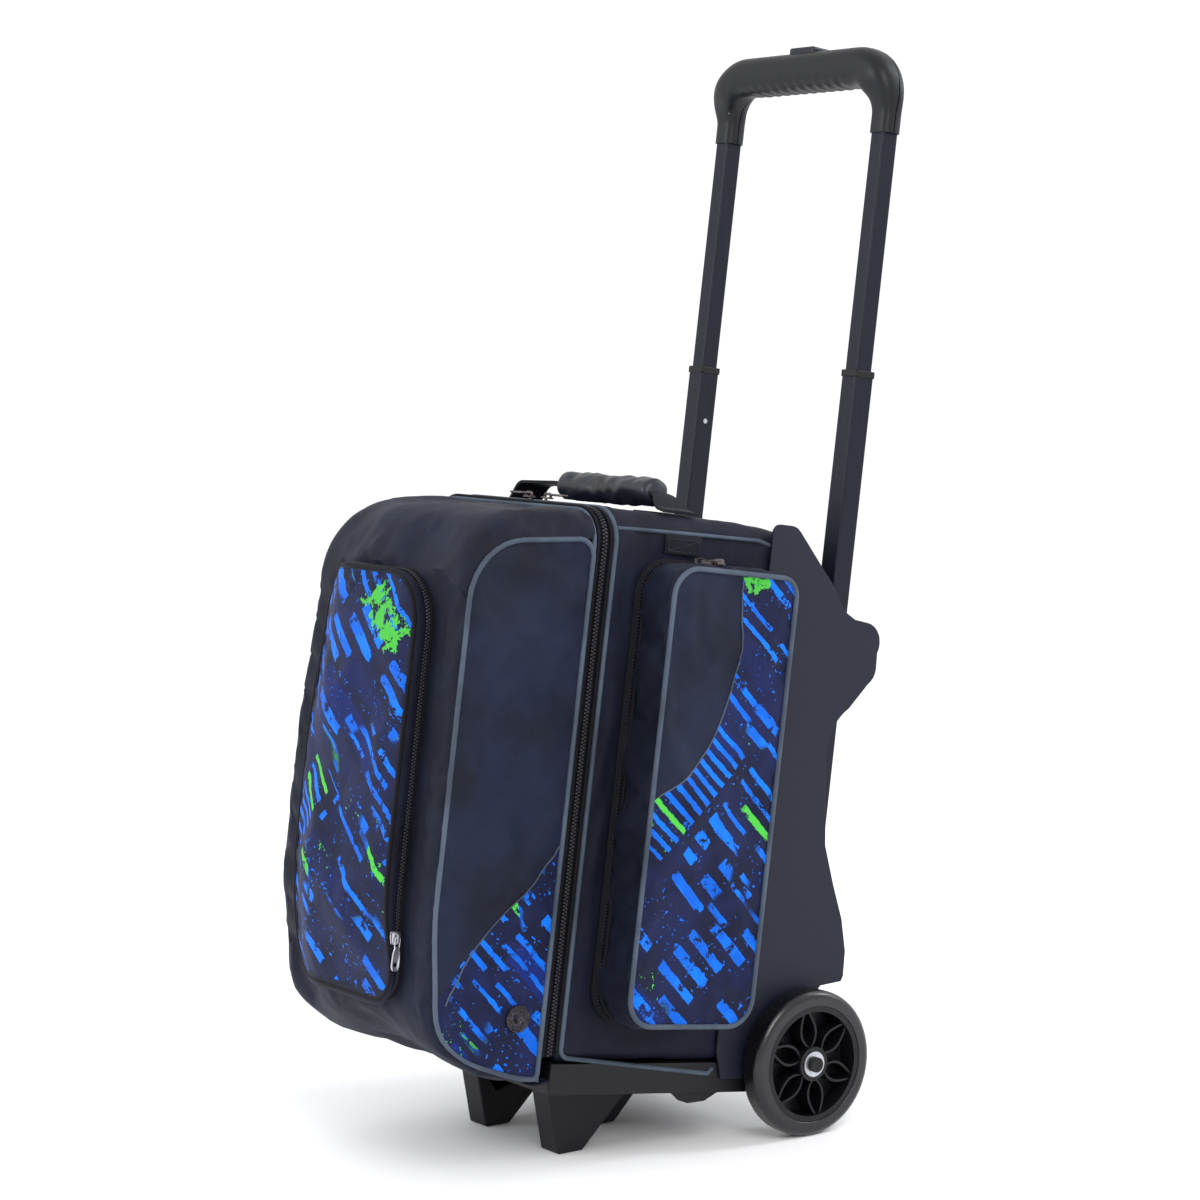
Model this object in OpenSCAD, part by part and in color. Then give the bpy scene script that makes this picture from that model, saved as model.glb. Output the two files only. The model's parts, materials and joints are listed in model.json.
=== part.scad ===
// Two-ball roller bag: a soft bag on a moulded rear frame, with two wheels and a telescoping pull handle.
// Right is +X, the lid faces -Y and the wheels and pull handle are at +Y.
// Most modules are drawn upright, in a leaned frame: y is depth and z is height along the bag.

/* [Stance] */
// Backward lean of the bag when it stands on its feet and wheels, degrees
lean = 7.7; // [7:0.1:8.4]
// Wheel diameter
wheel_d = 127; // [124:1:130]
// Wheel width
wheel_w = 24; // [22:1:26]

/* [Bag] */
// Half width of the main compartment
tub_half = 121.5; // [120:0.5:121.5]
// Height of the top of the main compartment
tub_top_z = 518; // [518:1:526]
// Height of the main compartment's underside
tub_floor_z = 60; // [58:1:62]
// Thickness of a padded fabric wall
wall = 4; // [3:0.5:5]
// Depth of the lid in front of the main zipper
lid_depth = 128; // [118:1:132]
// Half width of the lid
lid_half = 123; // [121:0.5:124]

/* [Pockets] */
// How far a side pocket stands out from the bag
side_pocket_t = 46.5; // [35:0.5:50]
// How far the front pocket stands out from the lid
front_pocket_t = 24; // [18:1:30]

/* [Pull handle] */
// Outer width of the fixed square tube
tube_outer = 23; // [22.5:0.1:23.2]
// Wall of each square tube
tube_wall = 1.2; // [1:0.1:1.2]
// Distance between the centres of the two tubes
tube_spacing = 218; // [214:1:218]
// Travel of the middle tubes into the fixed tubes
middle_travel = 190; // [170:1:190]
// Travel of the inner tubes into the middle tubes
inner_travel = 186; // [170:1:186]

/* [Hidden] */
$fn = 48;
eps = 0.01;
gap = 0.3;

wheel_r = wheel_d / 2;
axle_y = -wheel_r * sin(lean);
axle_z = wheel_r * cos(lean);
axle_r = 4;

zip_y = -272;
tub_front_y = zip_y + gap;
tub_back_y = -27;
tub_r = 32;
tub_foot_r = 14;
panel_cut = 88;
tray_z = 34;
tray_front_y = -268;
tray_back_y = -20;

lid_back_y = zip_y - gap;
lid_front_y = zip_y - lid_depth;
lid_top_back_z = 516;
lid_top_front_z = 500;
lid_floor_z = 44;
lid_corner_r = 46;
lid_toe = [62, 62];

tube_x = tube_spacing / 2;
tube_y = -11;
tube_step = tube_wall + gap;
middle_outer = tube_outer - 2 * tube_step;
inner_outer = middle_outer - 2 * tube_step;
outer_z1 = 443;
middle_z1 = 657;
collar_h = 6;
glide_h = 8;
tube_overlap = 65;
tube_spare = 25;
middle_len = inner_travel + tube_overlap + tube_spare;
outer_z0 = middle_z1 - middle_len - middle_travel - glide_h - tube_spare;
inner_z0 = middle_z1 - tube_overlap;
inner_z1 = 896;
pin_drop = 44;

grip_z0 = 911;
grip_z1 = 946;
grip_y0 = -34;
grip_y1 = 0;
grip_r = 12;
sleeve_z0 = 870;
sleeve_w = 24.5;
button_travel = 4;

flank_x = 121.8;
flank_t = 2.5;
wheel_x = flank_x + flank_t + 1;

pocket_x0 = 126.5;
pocket_x1 = pocket_x0 + side_pocket_t;
pocket_y0 = -232;
pocket_y1 = -104;
pocket_z0 = 100;
pocket_z1 = 477;
pocket_r = 24;
pocket_wall = 3;

front_half = 82;
front_z0 = 104;
front_z1 = 449;
front_r = 45;
front_low_r = 30;
front_y0 = lid_front_y - front_pocket_t;

carry_y = -192;
carry_z = 537;
carry_r = 13.5;

foot_front_y = -213;
foot_back_y = -188;
foot_x0 = 42;
foot_x1 = 68;

// The part's own Y zero is halfway between its front and its rear.
front_most = front_y0 * cos(lean) + front_z0 * sin(lean);
rear_most = (grip_y1 - grip_r) * cos(lean) + (grip_z1 - grip_r) * sin(lean) + grip_r;
mid_y = (front_most + rear_most) / 2;

// ---- Helpers ----

function arc(c, r, a0, a1, n = 8) =
    [for (i = [0:n]) let (a = a0 + (a1 - a0) * i / n) [c[0] + r * cos(a), c[1] + r * sin(a)]];

// Corners are rounded in the order bottom left, bottom right, top right, top left.
function rounded(x0, x1, y0, y1, r) = concat(
    arc([x0 + r[0], y0 + r[0]], r[0], 180, 270),
    arc([x1 - r[1], y0 + r[1]], r[1], 270, 360),
    arc([x1 - r[2], y1 - r[2]], r[2], 0, 90),
    arc([x0 + r[3], y1 - r[3]], r[3], 90, 180));

module on_floor() { translate([0, -mid_y, 0]) children(); }
module leaned() { on_floor() rotate([-lean, 0, 0]) children(); }
module on_axle() { on_floor() translate([0, 0, wheel_r]) rotate([0, 90, 0]) children(); }

// A profile drawn in depth and height, extruded across the bag.
module across(x0, x1) { translate([x0, 0, 0]) rotate([90, 0, 90]) linear_extrude(x1 - x0) children(); }
// A profile drawn in width and height, extruded from front to back.
module along(y0, y1) { translate([0, y1, 0]) rotate([90, 0, 0]) linear_extrude(y1 - y0) children(); }
module block(x0, x1, y0, y1, z0, z1) { translate([x0, y0, z0]) cube([x1 - x0, y1 - y0, z1 - z0]); }
module left() { mirror([1, 0, 0]) children(); }

module square_ring(outer, inner, r, z0, z1) {
    translate([0, 0, z0]) difference() {
        linear_extrude(z1 - z0) polygon(rounded(-outer / 2, outer / 2, -outer / 2, outer / 2, [r, r, r, r]));
        ri = max(0.6, r - (outer - inner) / 2);
        translate([0, 0, -1]) linear_extrude(z1 - z0 + 2)
            polygon(rounded(-inner / 2, inner / 2, -inner / 2, inner / 2, [ri, ri, ri, ri]));
    }
}
module square_plug(side, r, z0, z1) {
    translate([0, 0, z0]) linear_extrude(z1 - z0)
        polygon(rounded(-side / 2, side / 2, -side / 2, side / 2, [r, r, r, r]));
}
module at_tube(side) { leaned() translate([side * tube_x, tube_y, 0]) children(); }

// ---- Base and feet ----

// The tray is hollow underneath, with a short runner inside each of its long sides.
module base_tray() {
    skirt = 3;
    runner_x0 = 104;
    color([0.06, 0.06, 0.07]) leaned() difference() {
        block(-tub_half, tub_half, tray_front_y, tray_back_y, tray_z, tub_floor_z);
        block(-tub_half + skirt, tub_half - skirt, tray_front_y + skirt, tray_back_y - skirt,
              tray_z - 1, tub_floor_z - skirt);
    }
    color([0.06, 0.06, 0.07]) leaned() for (s = [0, 1]) mirror([s, 0, 0]) across(runner_x0, tub_half - skirt)
        polygon([[-132, tub_floor_z - skirt], [-132, tray_z], [-119, tray_z - 10], [-100, tray_z - 8],
                 [-78, tray_z + 4], [-78, tub_floor_z - skirt]]);
}

// A point given by depth and height above the floor, as depth and height in the leaned frame.
function to_bag(p) = [p[0] * cos(lean) - p[1] * sin(lean), p[0] * sin(lean) + p[1] * cos(lean)];

// The foot's pad is level on the floor while the tray above it leans.
module front_foot() {
    rib = 5;
    profile = [to_bag([foot_back_y, 0]), [-150, 20], [-124, tray_z - eps], [-236, tray_z - eps], [-228, 24],
               to_bag([foot_front_y, 0])];
    core = [[-204, 4], [-160, 22], [-148, 28], [-226, 28], [-218, 20]];
    color([0.05, 0.05, 0.06]) leaned() difference() {
        across(foot_x0, foot_x1) polygon(profile);
        across(foot_x0 - 1, foot_x1 - rib) polygon(core);
    }
}
module front_feet() {
    front_foot();
    left() front_foot();
}

module centre_foot() {
    half = 9;
    color([0.05, 0.05, 0.06]) leaned() across(-half, half)
        polygon([to_bag([-112, 0]), [-74, tray_z - eps], [-150, tray_z - eps], to_bag([-128, 0])]);
}

// ---- Moulded rear frame ----

flank_outline = concat(
    [[-98, 70]],
    arc([-90, 514], 8, 180, 90, 4),
    arc([-78, 508], 14, 90, 45, 3),
    [[-24, 474], [-15, 461], [-6, 452.5], [4, 447.5]],
    arc([17, 428], 18, 85, -25, 8),
    arc([16, 407], 18, -5, -55, 4),
    arc([36, 330], 49, 125, 198, 8),
    [[-2, 250], [12, 216], [26, 186], [34, 158], [35, 136], [33, 131], [10, 127]],
    [[-2, 112]],
    arc([axle_y, axle_z], 20, 50, -90, 8),
    [[-60, 46], [-90, 46]]);

module flank() {
    color([0.10, 0.10, 0.12]) leaned() difference() {
        across(flank_x, flank_x + flank_t) polygon(flank_outline);
        translate([flank_x - 1, axle_y, axle_z]) rotate([0, 90, 0]) cylinder(r = axle_r + 0.05, h = flank_t + 2);
    }
}
module flank_right() { flank(); }
module flank_left() { left() flank(); }

module back_plate() {
    color([0.07, 0.07, 0.08]) leaned() along(tub_back_y + 0.2, tub_back_y + 3.2)
        polygon(rounded(-tub_half, tub_half, tub_floor_z + 1, tub_top_z - 50, [8, 8, 28, 28]));
}

// A cross member between the flanks, hollowed from behind, with a square hole for each tube.
module bridge(profile, hollow, hole_z0, hole_z1) {
    color([0.06, 0.06, 0.07]) leaned() difference() {
        across(-tub_half, tub_half) polygon(profile);
        across(-tube_x + 18, tube_x - 18) polygon(hollow);
        for (s = [-1, 1]) translate([s * tube_x, tube_y, 0])
            square_plug(tube_outer + 2 * eps, 2.5, hole_z0, hole_z1);
    }
}
bridge_y0 = tub_back_y + 3.3;
module upper_bridge() {
    profile = concat([[bridge_y0, 398], [10, 398]], arc([16, 413], 15, -60, 0, 4), arc([16, 428], 15, 0, 80, 5),
                     [[4, 443], [bridge_y0, 443]]);
    bridge(profile, [[-16, 403], [40, 403], [40, 438], [-16, 438]], 390, 450);
}
module lower_bridge() {
    profile = [[bridge_y0, 118], [8, 128], [32, 132], [33, 158], [25, 186], [12, 214], [bridge_y0, 214]];
    bridge(profile, [[-16, 136], [60, 136], [60, 206], [-16, 206]], outer_z0, 220);
}

module axle_housing() {
    color([0.06, 0.06, 0.07]) leaned() difference() {
        union() {
            translate([-tub_half, axle_y, axle_z]) rotate([0, 90, 0]) cylinder(r = 13, h = 2 * tub_half);
            block(-tub_half, tub_half, axle_y - 8, axle_y + 8, axle_z + 5, 114);
        }
        translate([-tub_half - 1, axle_y, axle_z]) rotate([0, 90, 0])
            cylinder(r = axle_r + 0.02, h = 2 * tub_half + 2);
        block(-tub_half - 1, tub_half + 1, -60, tray_back_y + eps, 40, 114);
        block(-tub_half - 1, tub_half + 1, -60, bridge_y0, 113.9, 125);
    }
}

axle_half = wheel_x + wheel_w + 0.6;
module axle() {
    color([0.7, 0.7, 0.72]) on_axle() cylinder(r = axle_r, h = 2 * axle_half, center = true);
}
module axle_caps() {
    color([0.08, 0.08, 0.09]) on_axle() for (s = [-1, 1]) {
        translate([0, 0, s * (axle_half + 1.6)]) cylinder(r = 6.5, h = 3.2, center = true);
    }
}

// ---- Fixed tubes ----

module outer_tubes() {
    color([0.05, 0.05, 0.06]) for (s = [-1, 1]) at_tube(s) union() {
        square_ring(tube_outer, tube_outer - 2 * tube_wall, 2.5, outer_z0, outer_z1);
        square_plug(tube_outer, 2.5, outer_z0, outer_z0 + glide_h);
    }
}
module outer_collars() {
    color([0.05, 0.05, 0.06]) for (s = [-1, 1]) at_tube(s)
        square_ring(tube_outer + 2, middle_outer + 0.3, 3, outer_z1, outer_z1 + collar_h);
}

// ---- Main compartment ----

tub_outline = rounded(-tub_half, tub_half, tub_floor_z, tub_top_z, [tub_foot_r, tub_foot_r, tub_r, tub_r]);
tub_inside = rounded(-tub_half + wall, tub_half - wall, tub_floor_z + wall, tub_top_z - wall,
                     [tub_foot_r - wall, tub_foot_r - wall, tub_r - wall, tub_r - wall]);
tub_wall_y = tub_back_y - wall;

// The top slopes down to the rear behind the shoulder.
shoulder_y = -76;
shoulder_fall = 46;
shoulder_slope = shoulder_fall / (tub_back_y - shoulder_y);
function shoulder(inset) = [[-300, 0], [-300, tub_top_z - inset], [shoulder_y - 0.4 * inset, tub_top_z - inset],
    [0, tub_top_z + shoulder_slope * shoulder_y - 1.37 * inset], [0, 0]];

module tub_shell() {
    difference() {
        intersection() {
            along(tub_front_y, tub_wall_y) polygon(tub_outline);
            across(-tub_half - 1, tub_half + 1) polygon(shoulder(0));
        }
        intersection() {
            along(tub_front_y - 1, tub_wall_y + 1) polygon(tub_inside);
            across(-tub_half, tub_half) polygon(shoulder(wall));
        }
    }
}
module tub_back() {
    color([0.07, 0.08, 0.10]) leaned() intersection() {
        along(tub_wall_y, tub_back_y) polygon(tub_outline);
        across(-tub_half - 1, tub_half + 1) polygon(shoulder(0));
    }
}
module tub_sides() {
    color([0.07, 0.08, 0.10]) leaned() difference() {
        tub_shell();
        block(-panel_cut, panel_cut, -300, 0, 0, 600);
    }
}
module tub_top() {
    color([0.08, 0.09, 0.11]) leaned() intersection() {
        tub_shell();
        block(-panel_cut, panel_cut, -300, 0, 300, 600);
    }
}
module tub_floor() {
    color([0.07, 0.08, 0.10]) leaned()
        block(-panel_cut, panel_cut, tub_front_y, tub_wall_y, tub_floor_z, tub_floor_z + wall);
}

// ---- Ball cups ----

ball_r = 108.5;
cup_y = -150;
cup_h = 44;
cup_floor = 6;
shelf_z = 286;
module ball_cup(z0, side) {
    color([0.25, 0.26, 0.28]) leaned() difference() {
        block(-side, side, cup_y - 105, cup_y + 105, z0, z0 + cup_h);
        translate([0, cup_y, z0 + cup_floor + ball_r]) sphere(r = ball_r + 0.5);
    }
}
module lower_ball_cup() { ball_cup(tub_floor_z + wall, 106); }
module upper_ball_cup() { ball_cup(shelf_z + 4, 112); }
module ball_shelf() {
    color([0.12, 0.12, 0.13]) leaned() difference() {
        block(-tub_half + wall, tub_half - wall, cup_y - 112, tub_wall_y, shelf_z, shelf_z + 4);
        translate([0, cup_y, shelf_z - 1]) cylinder(r = 34, h = 6);
    }
}

// ---- Side pockets ----

pocket_outline = rounded(pocket_y0, pocket_y1, pocket_z0, pocket_z1, [pocket_r, pocket_r, 16, pocket_r]);
function grown(d) = rounded(pocket_y0 - d, pocket_y1 + d, pocket_z0 - d, pocket_z1 + d,
                            [pocket_r + d, pocket_r + d, 16 + d, pocket_r + d]);
module side_zippers() {
    tape = 5.5;
    color([0.04, 0.04, 0.05]) leaned() for (s = [0, 1]) mirror([s, 0, 0]) across(tub_half, pocket_x0 - gap)
        difference() {
            polygon(grown(tape));
            polygon(grown(-tape));
        }
}
module side_panel() {
    color([0.05, 0.15, 0.45]) leaned() across(pocket_x1 - wall, pocket_x1) polygon(pocket_outline);
}
module side_panel_right() { side_panel(); }
module side_panel_left() { left() side_panel(); }
module side_gusset() {
    color([0.07, 0.08, 0.10]) leaned() across(pocket_x0, pocket_x1 - wall) difference() {
        polygon(pocket_outline);
        polygon(grown(-pocket_wall));
    }
}
module side_gusset_right() { side_gusset(); }
module side_gusset_left() { left() side_gusset(); }

// ---- Carry handle ----

strap_t = 2.5;
anchor_w = 19;
anchor_x = 100;
carry_hinge_z = tub_top_z + 5;
carry_x0 = -52;
carry_x1 = 80;
module handle_anchors() {
    drop = 32;
    color([0.05, 0.05, 0.06]) leaned() for (s = [0, 1]) mirror([s, 0, 0])
        along(carry_y - anchor_w, carry_y + anchor_w) difference() {
            translate([anchor_x, tub_top_z - drop]) square([tub_half + strap_t - anchor_x, drop + strap_t]);
            polygon(rounded(-tub_half, tub_half, tub_floor_z, tub_top_z, [tub_foot_r, tub_foot_r, tub_r, tub_r]));
            translate([tub_half + strap_t - 30, tub_top_z + strap_t - 30]) difference() {
                square(40);
                circle(r = 30);
            }
        }
}
module carry_strap() {
    half_w = 8;
    pin_r = 1.8;
    low = [[-88, carry_hinge_z], [carry_x0 - 8, carry_z - 1], [carry_x1 + 4, carry_z - 1], [92, carry_hinge_z]];
    high = [for (i = [len(low) - 1:-1:0]) low[i] + [0, strap_t]];
    color([0.05, 0.05, 0.06]) leaned() union() {
        along(carry_y - half_w, carry_y + half_w) polygon(concat(low, high));
        for (x = [-99, 87]) translate([x, carry_y, carry_hinge_z + 1]) rotate([0, 90, 0])
            cylinder(r = pin_r, h = 12);
    }
}
module carry_grip() {
    color([0.10, 0.11, 0.14]) leaned() difference() {
        translate([carry_x0, carry_y, carry_z]) rotate([0, 90, 0]) cylinder(r = carry_r, h = carry_x1 - carry_x0);
        block(carry_x0 - 10, carry_x1 + 10, carry_y - 8, carry_y + 8, carry_z - 1, carry_z - 1 + strap_t);
    }
}

// ---- Lid ----

// The lid's lower front edge turns under in a tall quarter ellipse.
function toe(inset) = [for (i = [0:8]) let (a = 180 + 90 * i / 8)
    [lid_front_y + lid_toe[0] + (lid_toe[0] - inset) * cos(a), lid_floor_z + lid_toe[1] + (lid_toe[1] - inset) * sin(a)]];
lid_profile = concat(
    [[lid_back_y, lid_floor_z]], [[lid_back_y, lid_top_back_z]], [[lid_front_y + 44, lid_top_front_z]],
    arc([lid_front_y + lid_corner_r, lid_top_front_z - lid_corner_r], lid_corner_r, 95, 180),
    toe(0));
lid_inside = concat(
    [[lid_back_y + 1, lid_floor_z + wall]], [[lid_back_y + 1, lid_top_back_z - wall]],
    [[lid_front_y + 44, lid_top_front_z - wall]],
    arc([lid_front_y + lid_corner_r, lid_top_front_z - lid_corner_r], lid_corner_r - wall, 95, 180),
    toe(wall));
module lid_shell() {
    y0 = lid_front_y - 10;
    difference() {
        intersection() {
            across(-lid_half, lid_half) polygon(lid_profile);
            along(y0, 0) polygon(rounded(-lid_half, lid_half, lid_floor_z, lid_top_back_z, [14, 14, 30, 30]));
        }
        intersection() {
            across(-lid_half + wall, lid_half - wall) polygon(lid_inside);
            along(y0, 0) polygon(rounded(-lid_half + wall, lid_half - wall, lid_floor_z + wall,
                                         lid_top_back_z - wall, [10, 10, 26, 26]));
        }
    }
}
module lid_band() {
    color([0.07, 0.08, 0.10]) leaned() intersection() {
        lid_shell();
        block(-panel_cut, panel_cut, -500, 0, 0, 600);
    }
}
module lid_sides() {
    color([0.08, 0.09, 0.11]) leaned() difference() {
        lid_shell();
        block(-panel_cut, panel_cut, -500, 0, 0, 600);
    }
}
// An open-topped mesh sleeve inside the lid, for shoes.
module lid_sleeve() {
    color([0.12, 0.12, 0.14]) leaned()
        block(-lid_half + wall, lid_half - wall, lid_back_y - 6, lid_back_y - 4, 60, 330);
}
module lid_badge() {
    color([0.45, 0.42, 0.42]) leaned() translate([lid_half, -309, 98]) rotate([0, 90, 0])
        cylinder(r = 11.5, h = 2.2);
}

// ---- Front pocket ----

// The zipper runs round the middle of the pocket's gusset; behind it is the fixed base.
front_split_y = lid_front_y - 9;
function front_ring(d) = rounded(-front_half + d, front_half - d, front_z0 + d, front_z1 - d,
                                 [front_low_r - d, front_low_r - d, front_r - d, front_r - d]);
module front_ring_wall(y0, y1) {
    along(y0, y1) difference() {
        polygon(front_ring(0));
        polygon(front_ring(pocket_wall));
    }
}
module front_pocket_base() { color([0.05, 0.06, 0.08]) leaned() front_ring_wall(front_split_y, lid_front_y); }
module front_pocket_gusset() {
    color([0.05, 0.06, 0.08]) leaned() front_ring_wall(front_y0 + wall, front_split_y - gap);
}
module front_pocket_panel() {
    color([0.05, 0.15, 0.45]) leaned() along(front_y0, front_y0 + wall) polygon(front_ring(0));
}

// ---- Moving tubes and grip ----

module middle_tubes() {
    pin_z = middle_z1 - pin_drop;
    color([0.06, 0.06, 0.08]) for (s = [-1, 1]) difference() {
        at_tube(s) square_ring(middle_outer, middle_outer - 2 * tube_wall, 2, middle_z1 - middle_len, middle_z1);
        at_tube(s) translate([-s * middle_outer / 2, 0, pin_z]) rotate([0, 90, 0])
            cylinder(r = 2.3, h = 8, center = true);
    }
}
module middle_collars() {
    color([0.05, 0.05, 0.06]) for (s = [-1, 1]) at_tube(s)
        square_ring(middle_outer + 2, inner_outer + 0.3, 2.6, middle_z1, middle_z1 + collar_h);
}
module middle_glides() {
    color([0.05, 0.05, 0.06]) for (s = [-1, 1]) at_tube(s)
        square_plug(middle_outer + 0.2, 2, middle_z1 - middle_len - glide_h, middle_z1 - middle_len);
}
// Each spring pin pops through the inward face of a middle tube to lock the inner tube.
module lock_pins() {
    color([0.8, 0.8, 0.82]) for (s = [-1, 1]) at_tube(s)
        translate([-s * (middle_outer / 2 - tube_wall / 2 + 0.1), 0, middle_z1 - pin_drop]) rotate([0, 90, 0])
            cylinder(r = 2.25, h = tube_wall, center = true);
}
module inner_tubes() {
    color([0.35, 0.38, 0.45]) for (s = [-1, 1]) at_tube(s)
        square_ring(inner_outer, inner_outer - 2 * tube_wall, 2, inner_z0, inner_z1);
}
module inner_glides() {
    color([0.05, 0.05, 0.06]) for (s = [-1, 1]) at_tube(s)
        square_plug(inner_outer + 0.2, 2, inner_z0 - glide_h, inner_z0);
}

// The grip is two shells clamped round the tubes, and they meet at the tubes' middle.
seat_x0 = tube_x - sleeve_w / 2;
seat_x1 = tube_x + sleeve_w / 2;
sleeve_y0 = tube_y - 10.5;
grip_hand = concat(
    [[-seat_x1, sleeve_z0], [-seat_x0, sleeve_z0]],
    arc([-seat_x0 + 24, grip_z0 - 24], 24, 180, 90),
    arc([seat_x0 - 24, grip_z0 - 24], 24, 90, 0),
    [[seat_x0, sleeve_z0], [seat_x1, sleeve_z0]],
    arc([seat_x1 - 46, grip_z1 - 46], 46, 0, 90, 12),
    arc([-seat_x1 + 46, grip_z1 - 46], 46, 90, 180, 12));
grip_section = rounded(grip_y0, grip_y1, grip_z0 - 60, grip_z1, [6, 6, grip_r, grip_r]);
rod_y0 = tube_y - 3;
rod_y1 = tube_y + 3;
yoke_z = 924;
button_half = 17;
button_y0 = -26;
button_y1 = -3;
module button_slot(clear) {
    block(-button_half - clear, button_half + clear, button_y0 - clear, button_y1 + clear,
          yoke_z + 4 - button_travel - 0.4, grip_z1 + 10);
}
module grip_body() {
    difference() {
        leaned() intersection() {
            along(grip_y0, grip_y1) polygon(grip_hand);
            across(-seat_x1, seat_x1) polygon(grip_section);
            union() {
                block(-seat_x1, seat_x1, grip_y0, grip_y1, grip_z0 - 8, grip_z1);
                block(-seat_x1, seat_x1, sleeve_y0, grip_y1, sleeve_z0, grip_z0);
            }
        }
        for (s = [-1, 1]) at_tube(s) {
            square_plug(inner_outer + 0.02, 2, sleeve_z0 - 1, inner_z1);
            translate([0, 0, inner_z1 - 1]) cylinder(r = 2.6, h = yoke_z - inner_z1 + 1);
        }
        leaned() block(-tube_x - 4, tube_x + 4, rod_y0 - gap, rod_y1 + gap,
                       yoke_z - button_travel - 0.6, yoke_z + 4 + gap);
        leaned() button_slot(gap);
    }
}
module grip_front_shell() {
    color([0.09, 0.09, 0.12]) intersection() {
        grip_body();
        leaned() block(-200, 200, -100, tube_y, 800, 1000);
    }
}
module grip_rear_shell() {
    color([0.07, 0.07, 0.09]) intersection() {
        grip_body();
        leaned() block(-200, 200, tube_y, 100, 800, 1000);
    }
}
module grip_screws() {
    color([0.5, 0.5, 0.52]) leaned() for (s = [-1, 1]) translate([s * (seat_x0 + 4), sleeve_y0, grip_z0 - 13])
        rotate([90, 0, 0]) cylinder(r = 2.4, h = 1.2);
}
module release_button() {
    color([0.12, 0.12, 0.14]) leaned()
        block(-button_half, button_half, button_y0, button_y1, yoke_z + 4, grip_z1 + button_travel + 0.5);
}
module release_rods() {
    color([0.6, 0.6, 0.62]) {
        leaned() block(-tube_x - 3.5, tube_x + 3.5, rod_y0, rod_y1, yoke_z, yoke_z + 4);
        for (s = [-1, 1]) at_tube(s) translate([0, 0, inner_z0 + 20]) cylinder(r = 2, h = yoke_z - inner_z0 - 20);
    }
}

// ---- Wheels ----

module tyre() {
    r0 = wheel_r - 13;
    color([0.05, 0.05, 0.06]) on_axle() translate([0, 0, wheel_x]) rotate_extrude()
        polygon(rounded(r0, wheel_r, 0, wheel_w, [1, 7, 7, 1]));
}
module tyre_right() { tyre(); }
module tyre_left() { left() tyre(); }

hub_r = 15;
bearing_r = 11;
rim_r = wheel_r - 13;
petal_t = 2.2;
// One leaf of a petal: a bowed rib from the hub to the rim.
module petal_rib(bow) {
    n = 8;
    r0 = hub_r - 1.5;
    r1 = rim_r - 5;
    mid = [for (i = [0:n]) let (t = i / n) [r0 + (r1 - r0) * t, bow * sin(180 * pow(t, 0.8)) + bow * 0.35 * t]];
    polygon(concat([for (p = mid) p + [0, petal_t / 2]], [for (i = [n:-1:0]) mid[i] - [0, petal_t / 2]]));
}
module rim() {
    color([0.07, 0.07, 0.08]) on_axle() translate([0, 0, wheel_x]) difference() {
        union() {
            translate([0, 0, 1]) difference() {
                cylinder(r = rim_r, h = wheel_w - 2);
                translate([0, 0, 3]) cylinder(r = rim_r - 5, h = wheel_w);
            }
            cylinder(r = hub_r, h = wheel_w - 1);
            translate([0, 0, 3.5]) linear_extrude(wheel_w - 7) for (i = [0:5]) rotate(i * 60 + 8) {
                petal_rib(7);
                petal_rib(-7);
            }
        }
        translate([0, 0, -1]) cylinder(r = bearing_r, h = wheel_w + 2);
    }
}
module rim_right() { rim(); }
module rim_left() { left() rim(); }
module bearings() {
    color([0.75, 0.76, 0.78]) on_axle() for (z = [0.2, wheel_w - 7.2]) translate([0, 0, wheel_x + z])
        difference() {
            cylinder(r = bearing_r, h = 7);
            translate([0, 0, -1]) cylinder(r = axle_r + 0.05, h = 9);
        }
}
module bearings_right() { bearings(); }
module bearings_left() { left() bearings(); }

// ---- Zipper sliders and pulls ----

slider_l = 11;
slider_w = 9;
slider_h = 5;
pull_l = 26;
pull_w = 8;
pull_t = 2;
lid_slider_y = zip_y - 1;
lid_slider_z = tub_top_z + 0.5;
lid_slider_x = [8, 36];
pull_pin_z = lid_slider_z + slider_h + 1.6;

// A slider body with a small bridge on top for the pull, drawn flat with its travel along X.
module slider() {
    difference() {
        translate([-slider_l / 2, -slider_w / 2, 0]) cube([slider_l, slider_w, slider_h]);
        translate([-slider_l / 2 - 1, -1.5, slider_h - 2]) cube([slider_l + 2, 3, 3]);
    }
}
// A pull that lies along -X from its pivot, which is at the origin.
module pull() {
    difference() {
        translate([-pull_l, -pull_w / 2, -pull_t / 2]) cube([pull_l, pull_w, pull_t]);
        translate([-pull_l + 5, 0, -pull_t]) cylinder(r = 1.8, h = 2 * pull_t);
    }
}
module lid_slider(i) {
    color([0.55, 0.53, 0.55]) leaned() translate([lid_slider_x[i], lid_slider_y, lid_slider_z]) slider();
}
module lid_pull(i) {
    color([0.5, 0.48, 0.5]) leaned() translate([lid_slider_x[i], lid_slider_y, pull_pin_z])
        mirror([i, 0, 0]) pull();
}
module lid_slider_left() { lid_slider(0); }
module lid_slider_right() { lid_slider(1); }
module lid_pull_left() { lid_pull(0); }
module lid_pull_right() { lid_pull(1); }

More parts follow.
